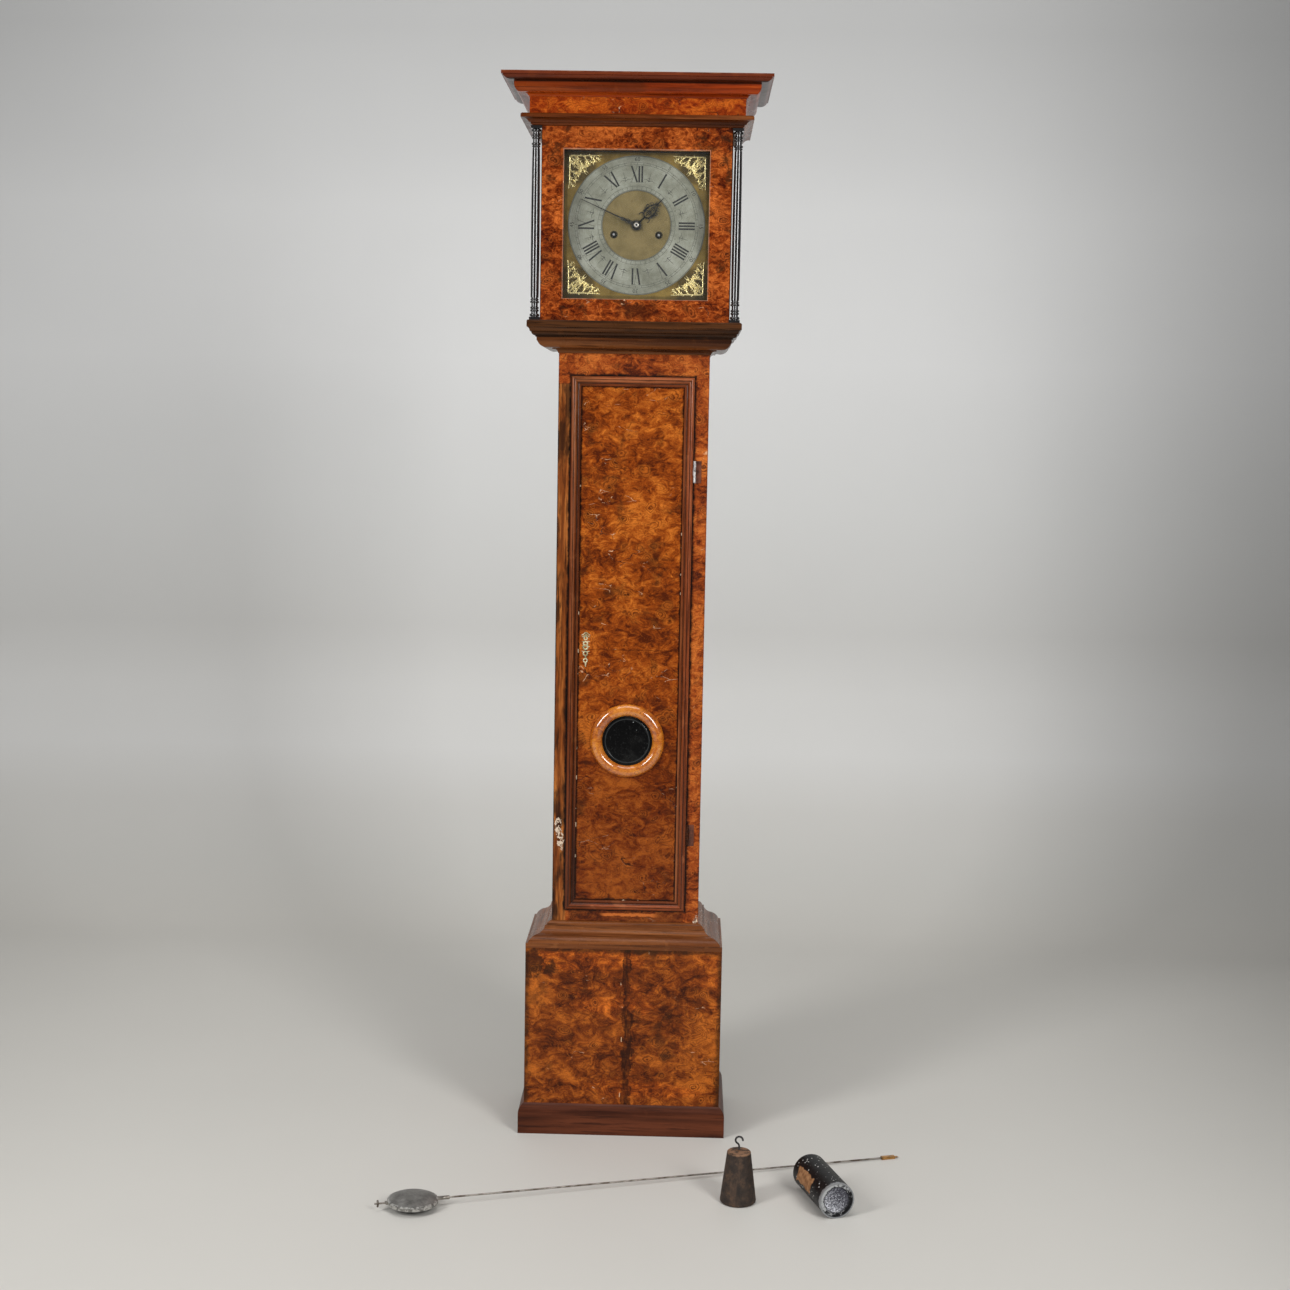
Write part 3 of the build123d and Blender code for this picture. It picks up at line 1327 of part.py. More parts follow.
hammer_y = bell_y
hammer_head_x = -bell_radius - 1.5 - hammer_head_length / 2
with BuildPart() as hammer:
    train_arbor(hammer_place, hammer_arbor_radius)
    with BuildSketch(dial_plane(hammer_place, hammer_y + 2)):
        Circle(4.5)
        shank_top = (hammer_head_x - hammer_x, bell_lift + 7 - hammer_z)
        Polygon((-1.5, 0), (1.5, 0), (shank_top[0] + 1.2, shank_top[1]), (shank_top[0] - 1.2, shank_top[1]),
                align=None)
        Circle(hammer_arbor_radius + seat_gap, mode=Mode.SUBTRACT)
    extrude(amount=4)
    head_plane = Plane(origin=(hammer_head_x - hammer_head_length / 2, hammer_y, bell_rim + 7),
                       x_dir=(0, 1, 0), z_dir=(1, 0, 0))
    with BuildSketch(head_plane):
        Circle(hammer_head_radius)
    extrude(amount=hammer_head_length)
    with BuildSketch(dial_plane(hammer_place, pin_wheel_y + wheel_thickness + 4)):
        Circle(4)
        tail = polar((0, 0), 8.6, heading(hammer_place, pin_place) - 20)
        Polygon((0, 2), (0, -2), (tail[0], tail[1] - 1), (tail[0], tail[1] + 1), align=None)
        Circle(hammer_arbor_radius + seat_gap, mode=Mode.SUBTRACT)
    extrude(amount=3)
save(hammer, "hammer")


# Pendulum, lying on the floor

# The rod slopes down from the bob's centre to the brass block, which lies on the floor
rod_slope = atan2(bob_half_thickness - block_thickness / 2 - 0.5, rod_length)
rod_heading = radians(pendulum_direction)
pendulum = Plane(origin=(pendulum_bob_x, pendulum_bob_y, bob_half_thickness + 0.02),
                 x_dir=(cos(rod_slope) * cos(rod_heading), cos(rod_slope) * sin(rod_heading),
                        -sin(rod_slope)),
                 z_dir=(sin(rod_slope) * cos(rod_heading), sin(rod_slope) * sin(rod_heading),
                        cos(rod_slope)))


def across_pendulum(distance):
    """A plane square to the rod, this far along it from the bob's centre."""
    return Plane(origin=pendulum.from_local_coords(Vector(distance, 0, 0)),
                 x_dir=pendulum.y_dir, z_dir=pendulum.x_dir)


strap_start = -bob_radius - 4
# Both faces of the bob are parts of a sphere centred on the bob's axis
dome_rise = bob_half_thickness - bob_rim / 2
dome_radius = (bob_radius ** 2 + dome_rise ** 2) / (2 * dome_rise)
dome_middle = bob_half_thickness - dome_radius + (dome_radius ** 2 - bob_radius ** 2 / 4) ** 0.5
with BuildPart() as pendulum_bob:
    with BuildSketch(Plane(origin=pendulum.origin, x_dir=pendulum.y_dir, z_dir=pendulum.x_dir)):
        with BuildLine():
            Polyline((0, bob_half_thickness), (0, -bob_half_thickness))
            ThreePointArc((0, -bob_half_thickness), (bob_radius / 2, -dome_middle),
                          (bob_radius, -bob_rim / 2))
            Line((bob_radius, -bob_rim / 2), (bob_radius, bob_rim / 2))
            ThreePointArc((bob_radius, bob_rim / 2), (bob_radius / 2, dome_middle),
                          (0, bob_half_thickness))
        make_face()
    revolve(axis=Axis(pendulum.origin, pendulum.z_dir))
    with BuildSketch(across_pendulum(-bob_radius - 2)):
        Rectangle(holder_width + 2 * running_gap, holder_thickness + 2 * running_gap)
    extrude(amount=2 * bob_radius + 4, mode=Mode.SUBTRACT)
save(pendulum_bob, "pendulum_bob")

with BuildPart() as pendulum_rod:
    with BuildSketch(across_pendulum(strap_start)):
        Rectangle(holder_width, holder_thickness)
    extrude(amount=holder_length - strap_start)
    with BuildSketch(across_pendulum(-rating_screw_length)):
        Circle(rod_radius)
    extrude(amount=rating_screw_length + strap_start + 2)
    with BuildSketch(across_pendulum(holder_length - 4)):
        Circle(3.4)
    extrude(amount=12)
    with BuildSketch(across_pendulum(holder_length)):
        Circle(rod_radius)
    extrude(amount=rod_length - holder_length)
save(pendulum_rod, "pendulum_rod")

with BuildPart() as suspension_block:
    with BuildSketch(across_pendulum(rod_length)):
        Rectangle(block_width, block_thickness)
    extrude(amount=block_length)
    with BuildSketch(across_pendulum(rod_length + block_length)):
        Rectangle(block_width - 2, 0.6)
    extrude(amount=7)
save(suspension_block, "suspension_block")

with BuildPart() as rating_nut:
    with BuildSketch(across_pendulum(-rating_nut_place)):
        Circle(3.2)
        Rectangle(2 * rating_nut_radius, 3)
        Circle(rod_radius + running_gap, mode=Mode.SUBTRACT)
    extrude(amount=rating_nut_thickness)
save(rating_nut, "rating_nut")


# Weights

def weight_hook(base):
    """A bent wire hook that stands on the plane's origin: shank, offset and an open round bend."""
    bend_centre = hook_height - hook_wire - hook_bend
    offset_start = bend_centre - 2 * hook_bend * sin(radians(hook_offset_turn))
    with BuildLine(base) as wire:
        shank = Line((0, -hook_depth), (0, offset_start))
        offset_arc = JernArc(start=shank @ 1, tangent=shank % 1, radius=hook_bend,
                             arc_size=hook_offset_turn)
        JernArc(start=offset_arc @ 1, tangent=offset_arc % 1, radius=hook_bend, arc_size=-hook_round_turn)
    with BuildSketch(Plane(origin=base.from_local_coords(Vector(0, -hook_depth, 0)),
                           x_dir=base.x_dir, z_dir=base.y_dir)) as section:
        Circle(hook_wire)
    sweep(section.sketch, path=wire.line)


def hook_hole(top, depth):
    """A round hole for a hook's shank, cut down from the plane's origin along its -z."""
    with BuildSketch(top) as section:
        Circle(hook_wire + hook_hole_gap)
    extrude(section.sketch, amount=-depth - glue_line, mode=Mode.SUBTRACT)


with BuildPart() as conical_weight:
    with BuildSketch(Plane(origin=(cone_x, cone_y, 0), x_dir=(1, 0, 0), z_dir=(0, -1, 0))):
        with BuildLine():
            Polyline((0, 0), (cone_bottom_radius - 4, 0))
            ThreePointArc((cone_bottom_radius - 4, 0), (cone_bottom_radius - 1.2, 1.2),
                          (cone_bottom_radius, 4.5))
            Polyline((cone_bottom_radius, 4.5), (cone_top_radius, cone_height - 1.5),
                     (cone_top_radius - 1.5, cone_height), (0, cone_height), (0, 0))
        make_face()
    revolve(axis=Axis((cone_x, cone_y, 0), (0, 0, 1)))
    hook_hole(Plane.XY.move(Location((cone_x, cone_y, cone_height))), hook_depth)
    weight_hook(Plane(origin=(cone_x, cone_y, cone_height), x_dir=(1, 0, 0), z_dir=(0, -1, 0)))
save(conical_weight, "conical_weight")

tube_axis = Vector(cos(radians(tube_direction)), sin(radians(tube_direction)), 0)
tube_front = Vector(tube_x, tube_y, tube_radius)
tube_across = Vector(0, 0, 1).cross(tube_axis)
tube_body = tube_length - tube_cap


def across_tube(distance):
    """A plane square to the tube, this far along it from its open end."""
    return Plane(origin=tube_front + tube_axis * distance, x_dir=tube_across, z_dir=tube_axis)


with BuildPart() as cylinder_weight:
    with BuildSketch(across_tube(0)):
        Circle(tube_radius)
        Circle(tube_radius - tube_wall, mode=Mode.SUBTRACT)
    extrude(amount=tube_body - glue_line)
    with BuildSketch(across_tube(tube_recess)):
        Circle(tube_radius - tube_wall - glue_line)
    extrude(amount=tube_body - tube_recess - glue_line)
    with BuildSketch(across_tube(tube_body)):
        Circle(tube_radius)
    extrude(amount=tube_cap, taper=20)
    hook_hole(across_tube(tube_length), hook_depth)
    weight_hook(Plane(origin=tube_front + tube_axis * tube_length, x_dir=(0, 0, 1),
                      z_dir=Vector(0, 0, 1).cross(tube_axis)))
save(cylinder_weight, "cylinder_weight")
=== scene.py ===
import bmesh
import bpy
from math import cos, pi, radians, sin, tau
from mathutils import Matrix, Vector


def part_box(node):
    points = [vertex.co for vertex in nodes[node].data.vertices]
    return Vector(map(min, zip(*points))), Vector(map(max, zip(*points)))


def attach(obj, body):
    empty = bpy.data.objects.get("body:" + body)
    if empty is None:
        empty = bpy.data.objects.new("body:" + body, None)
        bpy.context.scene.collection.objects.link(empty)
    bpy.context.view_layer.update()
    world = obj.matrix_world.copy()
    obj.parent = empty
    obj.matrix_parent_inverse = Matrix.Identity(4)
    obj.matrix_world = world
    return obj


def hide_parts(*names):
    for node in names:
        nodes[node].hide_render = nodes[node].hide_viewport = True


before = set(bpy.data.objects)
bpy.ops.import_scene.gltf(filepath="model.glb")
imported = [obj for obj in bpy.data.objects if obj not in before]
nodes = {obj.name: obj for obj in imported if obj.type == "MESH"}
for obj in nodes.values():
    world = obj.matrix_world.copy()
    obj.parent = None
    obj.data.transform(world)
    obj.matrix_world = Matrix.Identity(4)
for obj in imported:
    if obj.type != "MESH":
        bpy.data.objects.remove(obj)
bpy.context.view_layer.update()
mm = 0.001

# The camera, solved from the edges of the case in the photograph
camera_place = Vector((106.1, -3723.8, 1380.9)) * mm
camera_pitch = radians(6.46)
camera_yaw = radians(-1.19)
camera_roll = radians(1.02)
camera_lens = 53.02

# Dial sizes in mm, from its centre
dial_centre = Vector((0, 0, 1764)) * mm
dial_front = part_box("dial_plate")[0].y
ring_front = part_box("chapter_ring")[0].y
ring_outer = 129.5
ring_inner = 64.5
numeral_foot = 80
numeral_top = 110
minute_track = (112.5, 116.5)
quarter_track = (66.5, 73)
engraved_depth = 0.12

# Half widths of the case and places on it, in metres
trunk_half = 0.14425
trunk_front = -0.06
base_half = 0.192
hood_half = 0.179
hood_top_half = 0.192
frieze_half = 0.2005
door_edge = 0.0185
door_low, door_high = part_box("trunk_door_moulding")
door_centre = (door_low + door_high) / 2
door_halves = (door_high - door_low) / 2
plate_low, plate_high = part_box("escutcheon")
plate_centre = (plate_low + plate_high) / 2

# Places in metres of marks that the materials follow
lenticle_height = 0.777
hood_opening = Vector((0.136, 0, 0.137))
winding_across = 0.0425
winding_height = dial_centre.z - 0.0175
arbor_ends = -0.053
hinge_leaf_front = -0.0618
hinge_knuckle_front = -0.063
bob_centre = (-0.356, -0.492, 0)
tube_start = (0.396, -0.489, 0.0325)
tube_turn = radians(106.6)

# Dark dirt in joints and edges, also used for the painted shadow under the cornice's lip, as a screen tone
grime_and_shade = (30, 14, 7)


# Node materials

def linear(tone):
    """Red, green and blue given as 0 to 255 screen values, in Blender's linear values."""
    shares = [value / 255 for value in tone]
    values = [share / 12.92 if share <= 0.04045 else ((share + 0.055) / 1.055) ** 2.4 for share in shares]
    return (*values, 1)


class Finish:
    """A material under construction: each method adds a node and gives its output."""

    def __init__(self, name):
        self.material = bpy.data.materials.new(name)
        self.material.use_nodes = True
        self.tree = self.material.node_tree
        self.tree.nodes.clear()
        output = self.tree.nodes.new("ShaderNodeOutputMaterial")
        self.shader = self.tree.nodes.new("ShaderNodeBsdfPrincipled")
        self.tree.links.new(self.shader.outputs[0], output.inputs[0])
        self.place = self.node("TexCoord", {}, "Object")
        self.x, self.y, self.z = self.axes(self.place)

    def feed(self, socket, value):
        """Link an output or set a constant; a colour of three values is a screen tone."""
        if isinstance(value, bpy.types.NodeSocket):
            self.tree.links.new(value, socket)
        elif socket.type == "RGBA" and len(value) == 3:
            socket.default_value = linear(value)
        else:
            socket.default_value = value

    def node(self, kind, inputs, output=0, **settings):
        """Add a node with its settings, feed its inputs and give one of its outputs."""
        node = self.tree.nodes.new("ShaderNode" + kind)
        for name, value in settings.items():
            setattr(node, name, value)
        for key, value in inputs.items():
            self.feed(node.inputs[key], value)
        return node.outputs[output]

    def math(self, operation, first, second=0, clamp=False):
        return self.node("Math", {0: first, 1: second}, operation=operation, use_clamp=clamp)

    def plus(self, first, second):
        return self.math("ADD", first, second)

    def minus(self, first, second):
        return self.math("SUBTRACT", first, second)

    def absolute(self, value):
        return self.math("ABSOLUTE", value)

    def times(self, first, *others):
        for other in others:
            first = self.math("MULTIPLY", first, other)
        return first

    def vector(self, operation, first, second):
        output = "Value" if operation in ("DOT_PRODUCT", "DISTANCE") else "Vector"
        return self.node("VectorMath", {0: first, 1: second}, output, operation=operation)

    def scaled(self, place, factors):
        return self.vector("MULTIPLY", place, factors)

    def stretched(self, *factors):
        return self.scaled(self.place, factors)

    def distance(self, centre, factors=(1, 0, 1)):
        """The distance from a point, with each axis scaled by its factor."""
        scaled_centre = [value * factor for value, factor in zip(centre, factors)]
        return self.vector("DISTANCE", self.stretched(*factors), scaled_centre)

    def axes(self, place):
        return self.node("SeparateXYZ", {0: place}).node.outputs

    def joined(self, x, y, z):
        return self.node("CombineXYZ", {0: x, 1: y, 2: z})

    def noise(self, scale, detail=3, roughness=0.5, place=None, distortion=0, colour=False):
        inputs = {"Vector": self.place if place is None else place, "Scale": scale, "Detail": detail,
                  "Roughness": roughness, "Distortion": distortion}
        return self.node("TexNoise", inputs, "Color" if colour else "Fac")

    def cells(self, place, scale, feature="F1"):
        return self.node("TexVoronoi", {"Vector": place, "Scale": scale}, "Distance", feature=feature)

    def warped(self, place, scale, amount, detail=2):
        """The place pushed about by noise, by up to half the amount."""
        push = self.vector("SUBTRACT", self.noise(scale, detail, place=place, colour=True), (0.5, 0.5, 0.5))
        return self.vector("ADD", place, self.scaled(push, (amount, amount, amount)))

    def frayed(self, value, amount, scale, detail=3, roughness=0.5, place=None):
        """The value pushed up and down by noise, by up to the amount."""
        return self.plus(value, self.spread(self.noise(scale, detail, roughness, place), -amount, amount))

    def step(self, value, low, high):
        """A smooth step from 0 at low to 1 at high; low may be above high."""
        limits = {"From Min": low, "From Max": high}
        if low > high:
            limits = {"From Min": high, "From Max": low, "To Min": 1, "To Max": 0}
        return self.node("MapRange", {"Value": value, **limits}, interpolation_type="SMOOTHSTEP")

    def band(self, value, rise_from, rise_to, fall_from, fall_to):
        """1 between two smooth steps and 0 outside them."""
        return self.times(self.step(value, rise_from, rise_to), self.step(value, fall_to, fall_from))

    def spread(self, value, low, high):
        """A 0 to 1 value turned into one from low to high."""
        return self.node("MapRange", {"Value": value, "To Min": low, "To Max": high})

    def ramp(self, value, *stops):
        """A colour from rows of a position and a screen tone."""
        node = self.node("ValToRGB", {0: value}).node
        elements = node.color_ramp.elements
        while len(elements) < len(stops):
            elements.new(0.5)
        for element, (position, tone) in zip(elements, stops):
            element.position = position
            element.color = linear(tone)
        return node.outputs[0]

    def mix(self, share, first, second, blend="MIX"):
        inputs = {"Factor": share, 6: first, 7: second}
        return self.node("Mix", inputs, 2, data_type="RGBA", blend_type=blend)

    def tint(self, colour, *rows):
        """The colour turned towards one tone after another, each by the product of its shares."""
        for tone, *shares in rows:
            colour = self.mix(self.times(*shares), colour, tone)
        return colour

    def patches(self, low, high, scale, detail=3, roughness=0.5, place=None):
        """A smooth step over noise from low to high, which leaves patches with soft edges."""
        return self.step(self.noise(scale, detail, roughness, place), low, high)

    def shade(self, colour, factors, share):
        """The colour multiplied by its factors, by this share."""
        return self.mix(share, colour, (*factors, 1), "MULTIPLY")

    def done(self, colour, roughness, relief, depth, strength, metallic=0, coat=0,
             coat_roughness=0.1, specular=0.5, coat_index=1.5):
        """Finish the material; relief, depth and strength make its bump."""
        bump = self.node("Bump", {"Strength": strength, "Distance": depth, "Height": relief})
        settings = {"Base Color": colour, "Roughness": roughness, "Metallic": metallic, "Normal": bump,
                    "Coat Weight": coat, "Coat Roughness": coat_roughness,
                    "Specular IOR Level": specular, "Coat IOR": coat_index}
        for name, value in settings.items():
            self.feed(self.shader.inputs[name], value)
        return self.material


def dress(material, *names):
    """Give a finish to CAD nodes."""
    for name in names:
        mesh = nodes[name].data
        mesh.materials.clear()
        mesh.materials.append(material)
        for face in mesh.polygons:
            face.material_index = 0


def inside_box(f, low, high, border=0):
    """The distance inside the nearest side of an upright rectangle, below 0 outside it."""
    across = f.math("MINIMUM", f.minus(f.x, low.x + border), f.minus(high.x - border, f.x))
    along = f.math("MINIMUM", f.minus(f.z, low.z + border), f.minus(high.z - border, f.z))
    return f.math("MINIMUM", across, along)


def ragged_edge(f, inside, width, grain=70):
    """1 near an edge and 0 away from it, torn by noise; inside is the distance from the edge."""
    return f.step(f.frayed(inside, width, grain, 5, 0.65), width, 0.2 * width)


# Wood

def burl_figure(f, place, tones, scale=1, smudge=0.6, cracked=0.6):
    """Colour and relief of burr veneer: mottled figure, swirls, eyes, knots, smudges and cracks."""
    dark, middle, light = tones
    bent = f.warped(f.scaled(place, (1, 1, 1.5)), 16 * scale, 0.035 / scale, 3)
    medium = f.noise(44 * scale, 9, 0.68, bent, 0.8)
    tone = f.plus(f.times(medium, 0.62), f.times(f.noise(10 * scale, place=place), 0.38))
    rings = f.step(f.math("SINE", f.times(f.noise(19 * scale, 1.5, 0.45, bent), 120)), 0, 0.95)
    fine = f.noise(270, 4, 0.65, f.warped(f.scaled(place, (1, 1, 2)), 50, 0.02))
    eyes = f.cells(f.warped(place, 70, 0.018, 3), 62)
    eye_mask = f.patches(0.52, 0.58, 21 * scale, place=place)
    halo = f.step(f.math("SINE", f.times(eyes, 30)), 0.1, 0.9)
    knots = f.cells(f.warped(f.scaled(place, (1, 1, 1.25)), 34, 0.03, 4), 27)
    knot_mask = f.patches(0.47, 0.53, 15 * scale, 2, place=f.vector("ADD", place, (3, 0, 1)))
    curls = f.step(f.math("SINE", f.times(knots, 52)), -0.1, 0.8)
    crack_place = f.warped(f.scaled(place, (0.8, 1, 1.8)), 34, 0.03, 3)
    cracks = f.times(f.step(f.cells(crack_place, 26, "DISTANCE_TO_EDGE"), 0.022, 0.006),
                     f.patches(cracked, cracked + 0.05, 24, 2, place=place))
    colour = f.tint(
        f.ramp(tone, (0.4, dark), (0.49, middle), (0.6, light)),
        (dark, rings, f.patches(0.44, 0.6, 17 * scale, 2, place=place), 0.46),
        (dark, f.step(fine, 0.5, 0.68), 0.55),
        (light, f.step(fine, 0.45, 0.28), 0.35),
        ((44, 18, 6), f.patches(0.6, 0.66, 430, 3, 0.7, f.scaled(place, (1, 1, 1.6))), 0.55),
        (light, halo, f.step(eyes, 0.46, 0.2), eye_mask, 0.36),
        (light, f.step(knots, 0.46, 0.3), knot_mask, 0.3),
        (dark, curls, f.step(knots, 0.5, 0.2), knot_mask, 0.78),
        ((50, 20, 7), f.step(knots, 0.13, 0.05), knot_mask, 0.7),
        ((42, 17, 6), f.step(eyes, 0.17, 0.07), eye_mask, 0.7),
        ((56, 31, 13), f.patches(0.55, 0.68, 15 * scale, 6, 0.66, f.warped(place, 22, 0.03)), smudge),
        (f.mix(f.patches(0.5, 0.56, 60, place=place), (38, 16, 7), (222, 172, 132)), cracks, 0.85))
    height = f.minus(f.times(fine, 0.3), f.times(cracks, 0.7))
    return colour, f.plus(height, f.times(f.noise(34, 2, place=place), 1.2))


def burl(name, tones, scale=1, offset=(0, 0, 0), smudge=0.6, gloss=0.2, coat=0, coat_index=1.5,
         cracked=0.6, marks=None):
    """A finish of burr veneer, with the piece's own marks on top."""
    f = Finish(name)
    place = f.vector("ADD", f.place, offset)
    colour, height = burl_figure(f, place, tones, scale, smudge, cracked)
    if marks is not None:
        colour = marks(f, colour)
    roughness = f.spread(f.noise(22, 4), gloss - 0.05, gloss + 0.12)
    return f.done(colour, roughness, height, 0.0006, 0.7, coat=coat, coat_roughness=0.08,
                  specular=0.16, coat_index=coat_index)


def grained(f, along, tones, streak=150, broad=22):
    """Colour and streaks of straight-grained wood that runs along the given stretched place."""
    dark, middle, light = tones
    bent = f.warped(along, 9, 0.012)
    streaks = f.noise(streak, 5, 0.65, bent)
    colour = f.ramp(f.noise(broad, 5, 0.62, bent, 0.3), (0.3, dark), (0.48, middle), (0.68, light))
    colour = f.tint(colour, (dark, f.step(streaks, 0.5, 0.66), 0.75),
                    (light, f.step(streaks, 0.42, 0.3), 0.45))
    return colour, streaks


def straight_veneer(name, stretch, tones, gloss=0.34):
    """Straight-grained veneer whose grain runs along the axis with the small stretch factor."""
    f = Finish(name)
    colour, streaks = grained(f, f.stretched(*stretch), tones)
    roughness = f.spread(f.noise(20), gloss - 0.06, gloss + 0.12)
    return f.done(colour, roughness, streaks, 0.0003, 0.45, coat=0.05, coat_roughness=0.18, specular=0.25)


def mitred_wood(name, centre, halves, axes, tones, gloss=0.24, coat=0.07, marks=None):
    """Moulding wood whose grain turns at the mitres.

    axes are the two directions across the frame, and halves its half sizes along them.
    """
    f = Finish(name)
    parts = f.axes(f.vector("SUBTRACT", f.place, centre))
    over = []
    runs = []
    for axis, half in zip(axes, halves):
        over.append(f.minus(f.absolute(parts[axis]), half))
        factors = [1, 1, 1]
        factors[axis] = 0.05
        runs.append(f.stretched(*factors))
    along = f.mix(f.math("GREATER_THAN", *over), *runs)
    colour, streaks = grained(f, along, tones, 190, 30)
    colour = f.tint(colour, (tones[2], f.patches(0.62, 0.74, 34, 5), 0.35))
    if marks is not None:
        colour = marks(f, colour)
    roughness = f.spread(f.noise(28, 4), gloss - 0.06, gloss + 0.16)
    return f.done(colour, roughness, streaks, 0.0004, 0.6, coat=coat, specular=0.15)


def case_moulding(name, half, tones, gloss=0.24, marks=None):
    """Finish of a moulding that runs round the front and both sides of the case."""
    front_half = 0.5
    front = trunk_front - (half - trunk_half)
    return mitred_wood(name, (0, front + front_half, 0), (half, front_half), (0, 1), tones, gloss,
                       marks=marks)


def panel_marks(f, colour):
    """A darker lower part, the joint behind the escutcheon, and dirt and chips along the edges."""
    inside = inside_box(f, door_low, door_high, door_edge)
    joint = f.absolute(f.frayed(f.minus(f.z, plate_centre.z), 0.0012, 30, 4))
    return f.tint(
        f.shade(colour, (0.56, 0.49, 0.47), f.step(f.z, 0.92, 0.62)),
        (grime_and_shade, f.step(joint, 0.001, 0.0003), 0.5),
        (grime_and_shade, ragged_edge(f, inside, 0.0046), 0.95),
        ((214, 190, 160), f.band(inside, -0.0014, -0.0006, 0.0012, 0.0022), f.patches(0.62, 0.66, 52)))


def hood_door_marks(f, colour):
    """The pale worn bevel round the glass, and the dark patch under it."""
    low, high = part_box("hood_door_frame")
    centre = Vector((0, 0, (low.z + high.z) / 2))
    inside = inside_box(f, centre - hood_opening, centre + hood_opening)
    dark_place = (0.00444, 0, low.z + 0.018)
    gap = f.distance(dark_place, (0.45, 0, 1))
    return f.tint(
        colour,
        ((196, 150, 122), f.step(inside, -0.0019, -0.0012), f.spread(f.noise(60, 4), 0, 0.75)),
        ((52, 18, 5), f.step(f.frayed(gap, 0.014, 60, 4), 0.022, 0.01), 0.75))


def base_marks(f, colour):
    """The dark irregular joint in the middle, darker ragged borders and corner patches, and lighter level
    bands.
    """
    low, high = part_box("base_front_panel")
    bands = f.patches(0.5, 0.64, 17, place=f.scaled(f.warped(f.place, 8, 0.05), (0.22, 1, 1)))
    up_only = f.joined(0, 0, f.z)
    from_joint = f.frayed(f.minus(f.x, 0.001), 0.01, 7, 5, 0.7, up_only)
    ragged_joint = f.frayed(from_joint, 0.007, 90, 6, 0.7, f.stretched(1, 1, 0.5))
    right_width = f.spread(f.noise(16, 5, 0.65, f.joined(0.3, 0, f.z)), -0.022, 0.05)
    left_width = f.spread(f.noise(23, 5, 0.65, f.joined(0.7, 0, f.z)), -0.014, 0.016)
    right_part = f.step(f.minus(ragged_joint, right_width), 0.0012, -0.0012)
    left_part = f.step(f.plus(ragged_joint, left_width), -0.0012, 0.0012)
    streaks = f.patches(0.36, 0.62, 200, 5, place=f.stretched(1, 1, 0.2))
    line = f.step(f.absolute(f.plus(from_joint, 0.0045)), 0.001, 0.0003)
    colour = f.tint(
        f.shade(colour, (1.5, 1.42, 1.3), bands),
        ((42, 17, 6), right_part, left_part, f.spread(streaks, 0.45, 0.9)),
        ((226, 190, 150), line, f.patches(0.56, 0.6, 44, 4, place=up_only)),
        ((46, 27, 10), ragged_edge(f, inside_box(f, low, high), 0.012, 46), 0.75))
    torn = f.spread(f.noise(52, 6, 0.7), -0.034, 0.034)
    for corner_x, corner_z, reach, share in ((low.x + 0.012, high.z - 0.03, 0.03, 0.75),
                                             (low.x + 0.046, high.z - 0.038, 0.017, 0.75),
                                             (low.x + 0.01, low.z + 0.014, 0.032, 0.6),
                                             (high.x - 0.008, low.z + 0.022, 0.036, 0.6)):
        gap = f.plus(f.distance((corner_x, 0, corner_z)), torn)
        colour = f.tint(colour, ((44, 22, 8), f.step(gap, reach, reach - 0.008), share))
    return colour


def trunk_frame_wood():
    """The left stile in streaky straight grain, the right stile and the rails in burr veneer."""
    f = Finish("trunk_frame_wood")
    top_rail = 1.468
    sill = door_low.z
    straight, streaks = grained(f, f.stretched(1, 1, 0.07), ((48, 20, 6), (126, 64, 22), (214, 132, 62)),
                                230, 60)
    smoke = f.patches(0.46, 0.6, 34, 6, 0.6, f.stretched(1, 1, 0.3))
    figured, height = burl_figure(f, f.vector("ADD", f.place, (0.7, 0, 0.9)),
                                  ((72, 24, 7), (154, 68, 20), (208, 114, 46)), 1.2, cracked=0.68)
    left = f.times(f.step(f.x, door_low.x + 0.002, door_low.x), f.step(f.z, top_rail, top_rail - 0.004))
    side = f.minus(trunk_half, f.absolute(f.x))
    beyond = f.minus(0, inside_box(f, door_low, door_high))
    level = f.frayed(f.z, 0.006, 110, 5, 0.7, f.stretched(0.5, 1, 1))
    colour = f.tint(
        f.mix(left, figured, f.tint(straight, ((36, 18, 7), smoke, 0.82))),
        (grime_and_shade, ragged_edge(f, side, 0.0024, 60), f.spread(left, 0.35, 0.9)),
        ((12, 6, 4), ragged_edge(f, beyond, 0.0064, 50), 0.97),
        ((48, 21, 8), f.step(f.z, sill - 0.002, sill - 0.006), f.step(f.absolute(f.x), 0.118, 0.106), 0.55),
        ((214, 118, 52), f.band(level, sill - 0.0142, sill - 0.013, sill - 0.0082, sill - 0.007),
         f.band(f.x, -0.052, -0.04, 0.05, 0.068), 0.85))
    speckle = f.noise(240, 4, 0.65, f.stretched(1, 1, 0.7))
    for spot_x, spot_z, size in ((-0.135, 0.606, 0.013), (-0.129, 0.576, 0.015), (0.139, 0.4195, 0.009)):
        gap = f.plus(f.distance((spot_x, 0, spot_z), (1.6, 0, 0.6)), f.spread(speckle, -0.012, 0.012))
        near = f.step(gap, size * 0.8, size * 0.5)
        colour = f.tint(colour, ((58, 28, 14), near, 0.75),
                        ((222, 200, 176), near, f.step(speckle, 0.5, 0.47)))
    return f.done(colour, f.spread(f.noise(20), 0.26, 0.46), f.plus(height, f.times(streaks, 0.5)),
                  0.0006, 0.6, coat=0.04, coat_roughness=0.18, specular=0.15)


